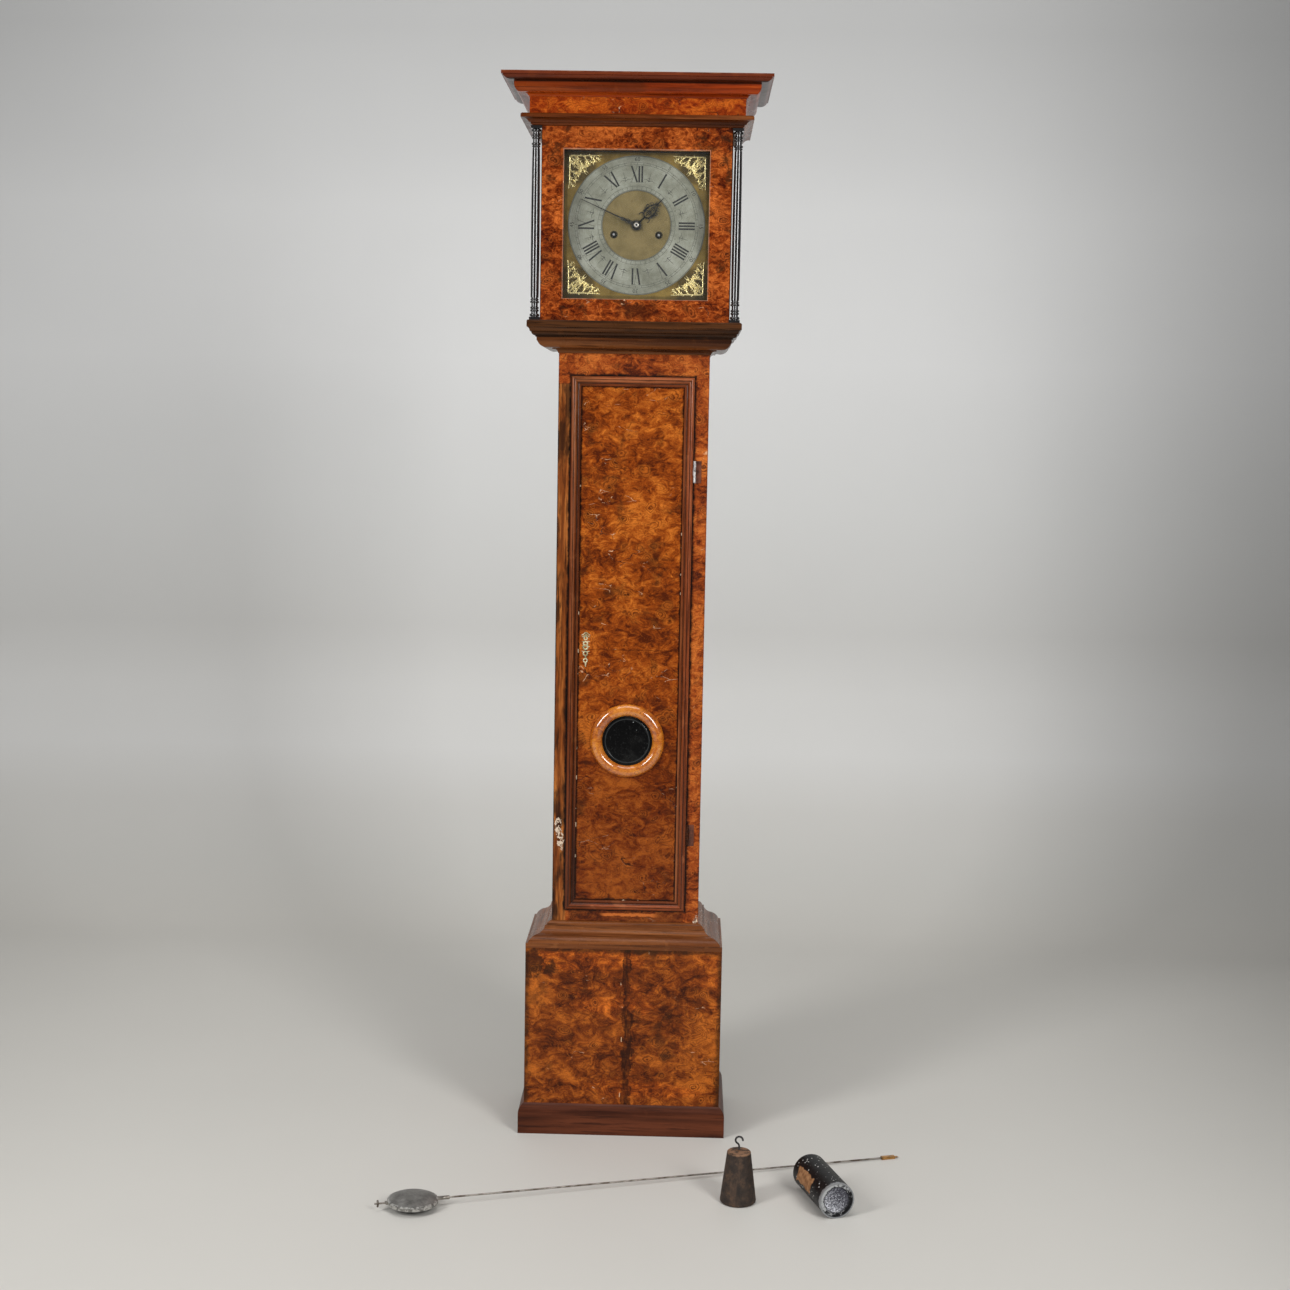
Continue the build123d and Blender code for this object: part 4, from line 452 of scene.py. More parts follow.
def cornice_marks(f, colour):
    """A darker lip with a painted shadow line under it, over the warmer curved part."""
    drop = f.minus(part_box("cornice_moulding")[1].z, f.z)
    left = f.step(f.frayed(f.x, 0.06, 40, 5, place=f.stretched(0.4, 1, 1)), 0.03, 0)
    return f.tint(
        colour,
        ((78, 38, 24), f.step(drop, 0.0135, 0.0115), 0.78),
        ((62, 30, 9), left, f.band(drop, 0.0125, 0.0135, 0.0315, 0.0335), 0.5),
        # painted shadow: the dark line under the lip
        (grime_and_shade, f.band(drop, 0.0115, 0.0125, 0.0155, 0.0165), 0.85),
        ((164, 108, 76), f.step(drop, 0.003, 0.001), f.patches(0.45, 0.6, 30), 0.3))


def door_moulding_marks(f, colour):
    """Darker lines in the two quirks; the left part is darkened as painted shade, and the inner parts are
    browner than the right.
    """
    inside = inside_box(f, door_low, door_high)
    # painted shade: the left side of the moulding is darkened, as if less lit than the right
    colour = f.shade(colour, (0.68, 0.68, 0.6), f.step(f.x, door_low.x + 0.06, door_low.x + 0.03))
    colour = f.shade(colour, (0.62, 0.6, 0.52), f.step(inside, 0.01, 0.0125))
    for quirk in (0.0062, 0.0128):
        torn = f.frayed(f.absolute(f.minus(inside, quirk)), 0.0008, 60, 4)
        colour = f.tint(colour, ((20, 10, 5), f.step(torn, 0.0014, 0.0005), 0.7))
    return colour


burl_rows = (
    ("walnut_burl_door", "trunk_door_panel", ((78, 28, 6), (146, 66, 14), (206, 114, 38)),
     {"marks": panel_marks}),
    ("walnut_burl_base", "base_front_panel", ((60, 22, 5), (124, 56, 13), (196, 106, 34)),
     {"scale": 0.8, "offset": (0.9, 0, 0.4), "cracked": 0.66, "marks": base_marks}),
    ("walnut_burl_hood", "hood_door_frame", ((58, 14, 2), (130, 52, 11), (204, 106, 42)),
     {"scale": 1.7, "offset": (1.3, 0, 0.2), "smudge": 0.8, "marks": hood_door_marks}),
    ("walnut_burl_frieze", "frieze", ((90, 26, 3), (150, 54, 8), (206, 102, 28)),
     {"scale": 1.3, "offset": (0.4, 0, 2.1), "smudge": 0.3}),
    ("walnut_ring", "lenticle_ring", ((140, 66, 10), (196, 104, 18), (228, 142, 40)),
     {"scale": 2, "offset": (2, 0, 0), "smudge": 0.15, "gloss": 0.3, "coat": 1, "coat_index": 1.85,
      "cracked": 0.9}),
)
for name, node, tones, settings in burl_rows:
    dress(burl(name, tones, **settings), node)

moulding_rows = (
    ("cornice_wood", "cornice_moulding", frieze_half, ((84, 26, 5), (150, 54, 10), (200, 92, 30)),
     {"marks": cornice_marks}),
    ("architrave_wood", "architrave_moulding", hood_top_half, ((52, 22, 6), (98, 46, 15), (150, 90, 48)), {}),
    ("hood_base_wood", "hood_base_moulding", hood_half, ((26, 13, 5), (48, 26, 10), (92, 54, 26)), {}),
    ("throat_wood", "throat_moulding", trunk_half, ((46, 21, 7), (84, 44, 17), (128, 76, 38)), {}),
    ("base_moulding_wood", "base_top_moulding", trunk_half,
     ((64, 32, 14), (112, 62, 30), (158, 98, 54)), {}),
    ("plinth_wood", "plinth_moulding", base_half, ((42, 16, 7), (66, 29, 13), (102, 52, 30)),
     {"gloss": 0.36}),
)
for name, node, half, tones, settings in moulding_rows:
    dress(case_moulding(name, half, tones, **settings), node)

dress(mitred_wood("door_moulding_wood", tuple(door_centre), (door_halves.x, door_halves.z), (0, 2),
                  ((74, 32, 14), (144, 72, 38), (196, 120, 76)), 0.22, 0.2, door_moulding_marks),
      "trunk_door_moulding")
dress(trunk_frame_wood(), "trunk_front_frame")
dress(straight_veneer("case_veneer", (1, 1, 0.045), ((56, 24, 8), (116, 56, 20), (166, 92, 40))),
      "trunk_side_boards", "base_carcass", "hood_frame")
dress(straight_veneer("oak_board", (1, 1, 0.05), ((70, 48, 30), (112, 82, 54), (146, 112, 78)), 0.6),
      "backboard", "hood_runners")
dress(straight_veneer("seat_oak", (0.05, 1, 1), ((70, 48, 30), (108, 80, 52), (140, 108, 76)), 0.6),
      "seat_board", "hood_top_boards")


def ebonised():
    """Near-black polished turning, with brown showing through where it is rubbed."""
    f = Finish("ebonised")
    patch = f.noise(110, 5, 0.6, f.stretched(1, 1, 0.3))
    colour = f.ramp(patch, (0.44, (8, 4, 3)), (0.64, (22, 9, 5)), (0.76, (70, 29, 15)))
    streaks = f.noise(500, place=f.stretched(1, 1, 0.05))
    return f.done(colour, f.spread(patch, 0.22, 0.32), streaks, 0.00004, 0.2, coat=1,
                  coat_roughness=0.03, specular=0.25, coat_index=1.7)


def mask_paint():
    """Dull black-brown paint with dust."""
    f = Finish("mask_paint")
    dust = f.noise(70, 5, 0.6)
    colour = f.ramp(dust, (0.4, (30, 22, 16)), (0.7, (58, 46, 34)))
    return f.done(colour, f.spread(dust, 0.5, 0.75), dust, 0.0003, 0.4)


dress(ebonised(), "hood_columns")
dress(mask_paint(), "dial_mask")


# Glass

def window_glass(name, tone, alpha):
    """Old clear glass: mostly see-through, with faint waves and dust."""
    f = Finish(name)
    dust = f.patches(0.62, 0.76, 320)
    f.feed(f.shader.inputs["Alpha"], f.spread(dust, alpha, alpha + 0.06))
    return f.done(f.mix(dust, tone, (200, 198, 190)), f.spread(dust, 0.03, 0.3), f.noise(9, 2),
                  0.0006, 0.3, specular=0.3)


def lenticle():
    """Glass painted near black as the shade in the trunk behind it, with dust and a faint bevel ring."""
    f = Finish("lenticle_glass")
    ring = f.band(f.distance((door_centre.x, 0, lenticle_height)), 0.0415, 0.0425, 0.0435, 0.0445)
    dust = f.patches(0.54, 0.74, 240, 5, 0.7)
    colour = f.tint(
        # painted shade: the near-black base stands for the dark trunk seen through the glass
        (6, 6, 7),
        ((70, 72, 72), dust, 0.3),
        ((70, 70, 68), f.patches(0.52, 0.74, 26, 4, place=f.warped(f.place, 20, 0.05)), 0.14),
        ((74, 78, 80), ring, 0.4),
        ((190, 196, 196), f.step(f.cells(f.place, 95), 0.09, 0.05), f.patches(0.54, 0.58, 38)))
    return f.done(colour, f.spread(dust, 0.08, 0.4), ring, 0.0006, 0.5, specular=0.25)


dress(window_glass("clear_glass", (190, 196, 192), 0.02), "hood_door_glass")
dress(window_glass("side_glass", (200, 210, 206), 0.16), "hood_side_glass")
dress(lenticle(), "lenticle_glass")


# Metal

def plain_metal(name, bright, tarnish, roughness, metallic=0.85):
    """Metal with cloudy tarnish, fine scratches and dark spots."""
    f = Finish(name)
    cloud = f.noise(60, 5, 0.6)
    fine = f.noise(400)
    colour = f.mix(f.step(cloud, 0.4, 0.68), bright, tarnish)
    colour = f.tint(colour, (tarnish, f.step(fine, 0.6, 0.74), 0.5))
    rough = f.spread(cloud, roughness - 0.06, roughness + 0.16)
    return f.done(colour, rough, fine, 0.0002, 0.6, metallic)


def from_winding(f):
    """The distance from the axis of the nearer winding arbor."""
    mirrored = f.joined(f.absolute(f.x), 0, f.z)
    return f.vector("DISTANCE", mirrored, (winding_across, 0, winding_height))


def silvered_ring():
    """Silvered brass with circular brushing, warmer and darker where it has worn."""
    f = Finish("silvered_ring")
    radius = f.distance(dial_centre)
    angle = f.math("ARCTAN2", f.x, f.minus(f.z, dial_centre.z))
    brushed = f.noise(1400, place=f.joined(radius, f.times(angle, 0.004), 0))
    cloud = f.noise(24, 6, 0.65)
    rim = f.math("MAXIMUM", f.step(radius, 0.1268, 0.129), f.step(radius, 0.0668, 0.065))
    colour = f.tint(
        f.ramp(cloud, (0.34, (138, 139, 122)), (0.52, (164, 166, 150)), (0.7, (190, 192, 178))),
        ((104, 104, 88), f.step(brushed, 0.48, 0.7), 0.32),
        ((84, 82, 64), rim, 0.5),
        ((92, 88, 70), f.patches(0.66, 0.74, 170), 0.5))
    return f.done(colour, f.spread(cloud, 0.3, 0.46), brushed, 0.00005, 0.5, 0.55)


def dial_brass():
    """Matted brass centre inside the ring, smoother lacquered brass with stains outside it; painted shadow in
    the corners behind the spandrels and along the plate's edges under the mask, painted shade round the
    winding holes, and darker round the centre.
    """
    f = Finish("dial_brass")
    radius = f.distance(dial_centre)
    centre = f.step(radius, 0.0655, 0.064)
    matting = f.noise(1500, 2)
    cloud = f.noise(28, 6, 0.6)
    across = f.absolute(f.x)
    level = f.absolute(f.minus(f.z, dial_centre.z))
    corner = f.times(f.step(across, 0.072, 0.084), f.step(level, 0.072, 0.084))
    outer = f.tint(
        f.ramp(cloud, (0.32, (126, 102, 42)), (0.62, (186, 154, 76))),
        # painted shadow of the spandrels on the plate's corners
        ((44, 34, 12), corner, f.spread(f.noise(90, 4), 0.35, 1)),
        # painted shade along the plate's edges, shaded by the mask
        ((56, 46, 22), f.step(f.math("MAXIMUM", across, level), 0.129, 0.1335), 0.5))
    inner = f.ramp(cloud, (0.34, (112, 98, 58)), (0.6, (138, 121, 78)))
    colour = f.tint(
        f.mix(centre, outer, inner),
        ((86, 74, 44), f.step(matting, 0.5, 0.7), 0.4),
        ((78, 64, 36), f.patches(0.6, 0.74, 64, 5, 0.6), 0.5),
        # painted shade round the winding holes
        ((30, 24, 14), f.step(from_winding(f), 0.008, 0.0066), 0.85),
        ((52, 44, 26), f.step(radius, 0.0135, 0.0095), 0.6))
    return f.done(colour, f.spread(centre, 0.34, 0.52), f.times(matting, centre), 0.0002, 0.8, 0.7)


def cast_brass():
    """Chased brass: bright high parts and dark dirt in the hollows."""
    f = Finish("cast_brass")
    rise = f.step(f.y, dial_front - 0.0002, dial_front - 0.0017)
    cloud = f.noise(300, 4, 0.6)
    worn = f.math("ADD", rise, f.spread(cloud, -0.75, 0.75), clamp=True)
    colour = f.ramp(worn, (0.24, (34, 26, 9)), (0.52, (160, 130, 56)), (0.86, (255, 238, 170)))
    return f.done(colour, f.spread(cloud, 0.16, 0.36), f.noise(700), 0.0005, 0.8, 0.6)


def dark_steel():
    """Old blued steel, brown-black with grey rubbed edges."""
    f = Finish("dark_steel")
    patch = f.noise(120, 5, 0.6)
    colour = f.ramp(patch, (0.4, (18, 18, 19)), (0.6, (40, 39, 38)), (0.74, (96, 94, 90)))
    return f.done(colour, f.spread(patch, 0.28, 0.5), f.noise(700), 0.0002, 0.6, 0.5)


def highlit_collet_steel():
    """A painted highlight, bright in the middle of the dome and fading to dark steel towards its edge."""
    f = Finish("highlit_collet_steel")
    cloud = f.noise(300, 4)
    worn = f.plus(f.distance(dial_centre), f.spread(cloud, -0.0006, 0.0006))
    # painted highlight in the middle of the dome
    colour = f.ramp(f.step(worn, 0.003, 0.0054), (0, (236, 234, 228)), (0.5, (150, 142, 124)),
                    (1, (58, 52, 42)))
    return f.done(colour, f.spread(cloud, 0.22, 0.4), cloud, 0.0001, 0.5, 0.7)


def wheel_brass():
    """Satin wheel brass; the arbor ends in front of the plates are bright steel in the middle and painted
    near black round it, as painted shade in the winding holes.
    """
    f = Finish("wheel_brass")
    cloud = f.noise(70, 5, 0.6)
    brass = f.mix(f.step(cloud, 0.42, 0.68), (188, 156, 88), (124, 98, 52))
    # painted shade: steel darkened outside the middle of the winding arbors
    steel = f.mix(f.step(from_winding(f), 0.0018, 0.0025), (213, 213, 210), (44, 40, 34))
    colour = f.mix(f.step(f.y, arbor_ends + 0.0005, arbor_ends - 0.0005), brass, steel)
    fine = f.noise(700, place=f.stretched(1, 0.2, 1))
    return f.done(colour, f.spread(cloud, 0.22, 0.4), fine, 0.0001, 0.5, 0.85)


def hinge_iron():
    """Bright worn knuckles, rusted on the lower hinge, on leaves varnished over with the wood."""
    f = Finish("hinge_iron")
    knuckle = f.step(f.y, hinge_leaf_front, hinge_knuckle_front)
    cloud = f.noise(90, 5, 0.6)
    varnished = f.ramp(cloud, (0.36, (58, 26, 16)), (0.62, (112, 60, 40)))
    metal = f.ramp(cloud, (0.4, (104, 98, 96)), (0.6, (214, 210, 208)))
    rusted = f.ramp(cloud, (0.4, (40, 20, 12)), (0.62, (96, 54, 34)))
    metal = f.mix(f.step(f.z, 1, 0.9), metal, rusted)
    return f.done(f.mix(knuckle, varnished, metal), f.spread(cloud, 0.24, 0.4), f.noise(400),
                  0.0002, 0.6, f.times(knuckle, 0.7))


dress(silvered_ring(), "chapter_ring")
dress(dial_brass(), "dial_plate")
dress(wheel_brass(), "movement_plates", "movement_pillars", "going_barrel", "centre_wheel", "cannon_wheel",
      "hour_wheel", "minute_wheel", "third_wheel", "escape_wheel", "strike_barrel", "count_wheel",
      "pin_wheel", "hoop_wheel", "warning_wheel", "fly")
dull_steel = plain_metal("dull_steel", (150, 144, 136), (78, 64, 52), 0.36)
dress(dull_steel, "anchor", "bell_stand", "hammer", "lock_case", "lock_bolt", "pendulum_rod")
dress(hinge_iron(), "trunk_hinge_frame_leaves", "trunk_hinge_door_leaves")
dress(plain_metal("bell_metal", (186, 164, 116), (112, 92, 58), 0.3), "bell")
dress(plain_metal("block_brass", (200, 148, 84), (104, 76, 44), 0.3), "suspension_block")


# Pendulum bob and weights

def lead_bob():
    """Dull grey lead with scratches, paler towards the rim, and painted shade on its lower edge by the floor.
    """
    f = Finish("lead_bob")
    cloud = f.noise(44, 6, 0.65)
    scratches = f.patches(0.58, 0.72, 420, 4, place=f.stretched(0.3, 1, 1))
    from_centre = f.distance(bob_centre, (1, 1, 0))
    colour = f.tint(
        f.ramp(cloud, (0.34, (92, 90, 86)), (0.52, (122, 120, 116)), (0.7, (150, 148, 144))),
        ((64, 62, 58), scratches, 0.4),
        ((206, 204, 198), f.step(from_centre, 0.0405, 0.043), f.patches(0.42, 0.56, 150, 4), 0.7),
        # painted shade on the lower edge, next to the floor
        ((40, 38, 36), f.step(f.z, 0.0125, 0.0095), 0.8))
    height = f.plus(cloud, f.times(scratches, -0.2))
    return f.done(colour, f.spread(cloud, 0.36, 0.56), height, 0.0006, 0.7, 0.5)


def rusty_iron():
    """Rough dark cast iron with brown rust, lighter on the top."""
    f = Finish("rusty_iron")
    cloud = f.noise(60, 7, 0.7)
    pits = f.patches(0.56, 0.7, 320, 4, 0.7)
    colour = f.tint(
        f.ramp(cloud, (0.32, (34, 28, 25)), (0.52, (64, 51, 42)), (0.7, (104, 78, 58))),
        ((24, 20, 18), pits, 0.6),
        ((158, 118, 88), f.step(f.z, 0.09, 0.093), f.patches(0.38, 0.56, 110, 4), 0.8),
        ((100, 76, 60), f.patches(0.54, 0.68, 90, 5, place=f.stretched(1, 1, 0.25)), 0.35),
        ((54, 52, 52), f.step(f.z, 0.0962, 0.097)))
    height = f.minus(f.noise(90, 6, 0.7), f.times(pits, 0.3))
    return f.done(colour, f.spread(cloud, 0.6, 0.85), height, 0.0016, 0.8, 0.25)


def black_tin():
    """Black varnished tin with pale speckles, a torn paper remnant, and a grey filling at its end; the
    filling is shaded across as painted light and its scraped silvery rim is brighter towards one side as
    painted light.
    """
    f = Finish("black_tin")
    local = f.vector("SUBTRACT", f.place, tube_start)
    along = f.vector("DOT_PRODUCT", local, (cos(tube_turn), sin(tube_turn), 0))
    across = f.vector("DOT_PRODUCT", local, (-sin(tube_turn), cos(tube_turn), 0))
    up = f.axes(local)[2]
    radius = f.math("SQRT", f.plus(f.times(across, across), f.times(up, up)))
    cloud = f.noise(70, 6, 0.7)
    specks = f.step(f.cells(f.warped(f.place, 200, 0.004), 135), 0.21, 0.13)
    ragged = f.spread(f.noise(60, 5), -0.5, 0.5)
    torn_around = f.plus(f.math("ARCTAN2", across, up), f.times(ragged, 0.5))
    torn_along = f.plus(along, f.times(ragged, 0.02))
    paper = f.times(f.band(torn_around, 0.84, 0.88, 1.7, 1.75), f.band(torn_along, 0.05, 0.053, 0.118, 0.121))
    paper_tan = f.ramp(f.noise(120, 5), (0.35, (134, 92, 60)), (0.65, (176, 130, 90)))
    rim = f.times(f.step(f.frayed(along, 0.008, 120, 5, 0.7), 0.006, 0.003), f.step(radius, 0.0295, 0.0305))

    filling = f.times(f.step(radius, 0.0302, 0.0298), f.step(along, 0.0045, 0.0036))
    # painted light: the filling's glitter brightens towards one side and darkens towards the other
    glitter_and_shade = f.plus(f.noise(420, 4, 0.7), f.times(f.minus(across, up), 3))
    grey = f.ramp(glitter_and_shade, (0.38, (66, 66, 74)), (0.52, (112, 113, 122)), (0.64, (226, 228, 236)))
    # scraped silver wear, brighter towards one side as painted light
    bare_and_lit = f.plus(f.noise(130, 6, 0.75), f.times(f.plus(across, up), 3.5))
    scraped = f.mix(f.step(bare_and_lit, 0.42, 0.58), (34, 34, 36), (196, 198, 200))
    torn_rim = f.frayed(radius, 0.004, 150, 5, 0.7)
    grey = f.tint(grey, (scraped, f.step(torn_rim, 0.0236, 0.0248)),
                  ((30, 30, 34), f.band(torn_rim, 0.0216, 0.023, 0.0238, 0.025), 0.85))
    colour = f.tint(
        f.ramp(cloud, (0.4, (8, 8, 9)), (0.6, (20, 20, 21)), (0.74, (58, 54, 50))),
        ((222, 220, 216), specks, f.spread(f.patches(0.4, 0.5, 60, 4), 0.05, 0.95)),
        (paper_tan, paper),
        ((166, 168, 170), rim, 0.8),
        (grey, filling))
    metal = f.times(f.math("ADD", rim, filling, clamp=True), 0.5)
    rough = f.plus(f.spread(cloud, 0.3, 0.55), f.times(paper, 0.3))
    return f.done(colour, rough, f.plus(cloud, f.times(paper, 0.6)), 0.0008, 0.6, metal, specular=0.2)


dress(lead_bob(), "pendulum_bob")
dress(rusty_iron(), "conical_weight")
dress(black_tin(), "cylinder_weight")


# Shapes in mesh code

class Shape:
    """Points and faces of one piece, gathered before its mesh is made."""

    def __init__(self):
        self.points = []
        self.faces = []

    def loft(self, rings, caps=True):
        """Skin a row of closed rings that have equal counts of points."""
        start = len(self.points)
        count = len(rings[0])
        for ring in rings:
            self.points.extend(ring)
        for row in range(len(rings) - 1):
            for number in range(count):
                low = start + row * count
                after = (number + 1) % count
                self.faces.append((low + number, low + after, low + count + after, low + count + number))
        if caps:
            last = start + (len(rings) - 1) * count
            self.faces.append(tuple(range(start + count - 1, start - 1, -1)))
            self.faces.append(tuple(range(last, last + count)))

    def piece(self, name, material, body, slot, smooth=True, angle=50, replaces=None):
        """Make the mesh object, ride it on its body and hide the part it replaces; the slot is not used."""
        mesh = bpy.data.meshes.new(name)
        mesh.from_pydata([tuple(point) for point in self.points], [], self.faces)
        mesh.validate()
        mesh.update()
        piece = bpy.data.objects.new(name, mesh)
        bpy.context.scene.collection.objects.link(piece)
        outwards = bmesh.new()
        outwards.from_mesh(mesh)
        bmesh.ops.recalc_face_normals(outwards, faces=outwards.faces)
        outwards.to_mesh(mesh)
        outwards.free()
        mesh.materials.append(material)
        if smooth:
            mesh.shade_smooth()
            mesh.set_sharp_from_angle(angle=radians(angle))
        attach(piece, body)
        if replaces is not None:
            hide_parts(replaces)


# Ribbon sections, as (across, rise) in shares of the half width and the height
domed = ((-1, 0), (-0.92, 0.45), (-0.5, 0.87), (0, 1), (0.5, 0.87), (0.92, 0.45), (1, 0))
flat = ((-1, 0), (-1, 0.65), (-0.8, 1), (0.8, 1), (1, 0.65), (1, 0))


def on_dial(radius, angle, across=0):
    """(x, z) from the dial's centre, in mm; the angle is in degrees clockwise from twelve."""
    turn = radians(angle)
    return (radius * sin(turn) + across * cos(turn), radius * cos(turn) - across * sin(turn))


def placed(point, y, origin=dial_centre):
    """A point in metres, from its (x, z) in mm and its depth in metres."""
    return (point[0] * mm + origin.x, y, point[1] * mm + origin.z)


def scroll(start, heading, length, bend_start, bend_end, half_start, half_end, steps=14):
    """Points and half widths of a ribbon whose bend changes steadily along it, in mm and degrees."""
    x, z = start
    turn = radians(heading)
    stride = length / steps
    stations = []
    for number in range(steps + 1):
        share = number / steps
        stations.append((x, z, turn, half_start + (half_end - half_start) * share))
        turn += (bend_start + (bend_end - bend_start) * share) * stride
        x += stride * cos(turn)
        z += stride * sin(turn)
    return stations


def add_ribbon(shape, stations, back, height, section=domed, transform=None, origin=dial_centre):
    """Loft a ribbon on a plane that faces the front; back is its rear depth in metres."""
    rings = []
    for x, z, turn, half in stations:
        ring = []
        for across, rise in section:
            point = (x - sin(turn) * across * half, z + cos(turn) * across * half)
            if transform is not None:
                point = transform(point)
            ring.append(placed(point, back - rise * height * mm, origin))
        rings.append(ring)
    shape.loft(rings)


def add_turning(shape, rows, count, back=0):
    """A ring round the dial's centre, from (radius, rise) rows in mm; rise is towards the front."""
    rings = []
    for number in range(count + 1):
        turn = tau * number / count
        rings.append([placed((radius * sin(turn), radius * cos(turn)), back - rise * mm)
                      for radius, rise in rows])
    shape.loft(rings, caps=False)


# Chapter ring: numerals, tracks and half-hour ornaments, filled with wax, in mm

sunk = -0.3  # how far the fillings reach behind the ring's face
letter_widths = {"I": 5.5, "V": 12, "X": 13}
letter_strokes = {"I": ((0, 0),), "V": ((-1, 0), (1, 0)), "X": ((-1, 1), (1, -1))}
numerals = ("I", "II", "III", "IIII", "V", "VI", "VII", "VIII", "IX", "X", "XI", "XII")
thick = 1.6
thin = 0.28
serif = 2.4
figure_radius = 118.8
figure_size = 10.5


def add_stroke(shape, start, end, half, angle):
    """A straight stroke between (across, radius) points, on the numeral at this angle."""
    first = Vector(on_dial(start[1], angle, start[0]))
    last = Vector(on_dial(end[1], angle, end[0]))
    run = (last - first).normalized() * half
    side = Vector((-run.y, run.x))
    outline = (first + side, first - side, last - side, last + side)
    shape.loft([[placed(point, ring_front - rise * mm) for point in outline]
                for rise in (sunk, engraved_depth)])


def add_circle(shape, radius, half):
    """A thin engraved circle."""
    rows = ((radius - half, sunk), (radius - half, engraved_depth), (radius + half, engraved_depth),
            (radius + half, sunk))
    add_turning(shape, rows, 180, ring_front)


def add_letter(black, grey, letter, centre, angle):
    """One Roman letter: its thick stroke in black, its thin stroke and serifs in grey.

    A stroke runs from its top to its foot, and each end is left, middle or right: -1, 0 or 1.
    """
    reach = letter_widths[letter] / 2 - 1
    ends = set()
    for shape, half, (top, foot) in zip((black, grey), (thick, thin), letter_strokes[letter]):
        start = (centre + top * reach, numeral_top)
        end = (centre + foot * reach, numeral_foot)
        add_stroke(shape, start, end, half, angle)
        ends.update((end, start))
    for across, radius in sorted(ends, key=lambda place: (place[1], place[0])):
        add_stroke(grey, (across - serif, radius), (across + serif, radius), thin, angle)


def add_ornament(shape, angle):
    """A small three-leaved half-hour mark."""
    centre = on_dial(84, angle)
    out = 90 - angle
    leaves = [scroll(centre, out + lean, length, bend, bend * 2.2, 0.55, 0.15, 8)
              for lean, bend, length in ((0, 0, 17), (38, 0.1, 12), (-38, -0.1, 12))]
    leaves.append(scroll(on_dial(90, angle, -4), out - 90, 8, 0, 0, 0.3, 0.3, 3))
    for stations in leaves:
        add_ribbon(shape, stations, ring_front, engraved_depth, flat)


def add_figures(shape):
    """Arabic numbers at every fifth minute, outside the minute track."""
    for hour in range(1, 13):
        words = bpy.data.curves.new("figures", "FONT")
        words.body = str(hour * 5)
        words.size = figure_size * mm
        words.align_x = "CENTER"
        words.extrude = engraved_depth / 2 * mm
        words.resolution_u = 3
        holder = bpy.data.objects.new("figures", words)
        mesh = bpy.data.meshes.new_from_object(holder)
        start = len(shape.points)
        for vertex in mesh.vertices:
            point = on_dial(figure_radius + vertex.co.y / mm, hour * 30, vertex.co.x / mm)
            shape.points.append(placed(point, ring_front - vertex.co.z))
        shape.faces.extend(tuple(start + index for index in face.vertices) for face in mesh.polygons)
        bpy.data.objects.remove(holder)


def wax(name, tone, worn):
    """Black filling, greyer where it has worn out of the engraving."""
    f = Finish(name)
    patch = f.noise(90, 4, 0.6)
    colour = f.mix(f.step(patch, 0.46, 0.7), tone, worn)
    return f.done(colour, f.spread(patch, 0.45, 0.7), f.noise(900), 0.0001, 0.4)


strong = Shape()
faint = Shape()
for hour, name in enumerate(numerals, 1):
    across = -sum(letter_widths[letter] for letter in name) / 2
    for letter in name:
        across += letter_widths[letter] / 2
        add_letter(strong, faint, letter, across, hour * 30)
        across += letter_widths[letter] / 2
for radius in minute_track + quarter_track + (ring_outer - 1.6, ring_inner + 0.9):
    add_circle(faint, radius, 0.22)
for minute in range(60):
    add_stroke(faint, (0, minute_track[0]), (0, minute_track[1]), 0.3, minute * 6)
for quarter in range(48):
    add_stroke(faint, (0, quarter_track[0]), (0, quarter_track[1]), 0.25, quarter * 7.5)
for hour in range(12):
    add_ornament(faint, hour * 30 + 15)
add_figures(faint)
strong.piece("dial_numerals", wax("black_wax", (12, 12, 12), (30, 30, 29)), "case", "silvered", smooth=False)
faint.piece("dial_engraving", wax("grey_wax", (42, 42, 38), (94, 94, 84)), "case", "silvered", smooth=False)


# Spandrels: pierced scroll and leaf castings in the four corners

corner_reach = 135.7
spandrel_rise = (dial_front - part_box("spandrels")[0].y) / mm
ring_clearance = 1.5
edge_clearance = 4


def spandrel_scrolls():
    """Ribbons of half a spandrel, as (x, z) in from its outer corner; the rest mirrors them."""
    stems = (
        ((11, 7.5), 2, 58, -0.001, -0.003, 2.2, 1.1),
        ((17, 10), 42, 44, -0.02, 0.17, 2.1, 0.8),
        ((34, 9), 34, 32, 0.03, 0.26, 1.9, 0.7),
        ((27, 23), 62, 30, -0.05, -0.26, 1.8, 0.7),
        ((46, 9), 14, 20, 0.05, 0.2, 1.7, 0.5),
        ((47, 17), 66, 16, -0.1, -0.36, 1.4, 0.5),
        ((57, 10), 26, 14, 0, 0.12, 1.6, 0.4),
        ((22, 8), 66, 18, 0.04, 0.22, 1.7, 0.6),
        ((38, 17), 16, 18, 0.06, 0.26, 1.6, 0.5),
    )
    leaves = []
    for stem in stems:
        stations = scroll(*stem)
        leaves.append(stations)
        for number in (2, 4, 6, 8, 10):
            x, z, turn = stations[number][:3]
            side = 1 if number % 4 else -1
            lean = turn * 180 / pi + side * 48
            leaves.append(scroll((x, z), lean, 6.5, side * 0.1, side * 0.16, 1.5, 0.25, 6))
    leaves.append(scroll((8, 8), 45, 38, 0, 0, 2.4, 0.8))
    for reach in (14, 21, 28, 35):
        leaves.append(scroll((reach, reach), 12, 12, 0.05, 0.12, 1.9, 0.3, 8))
    return leaves


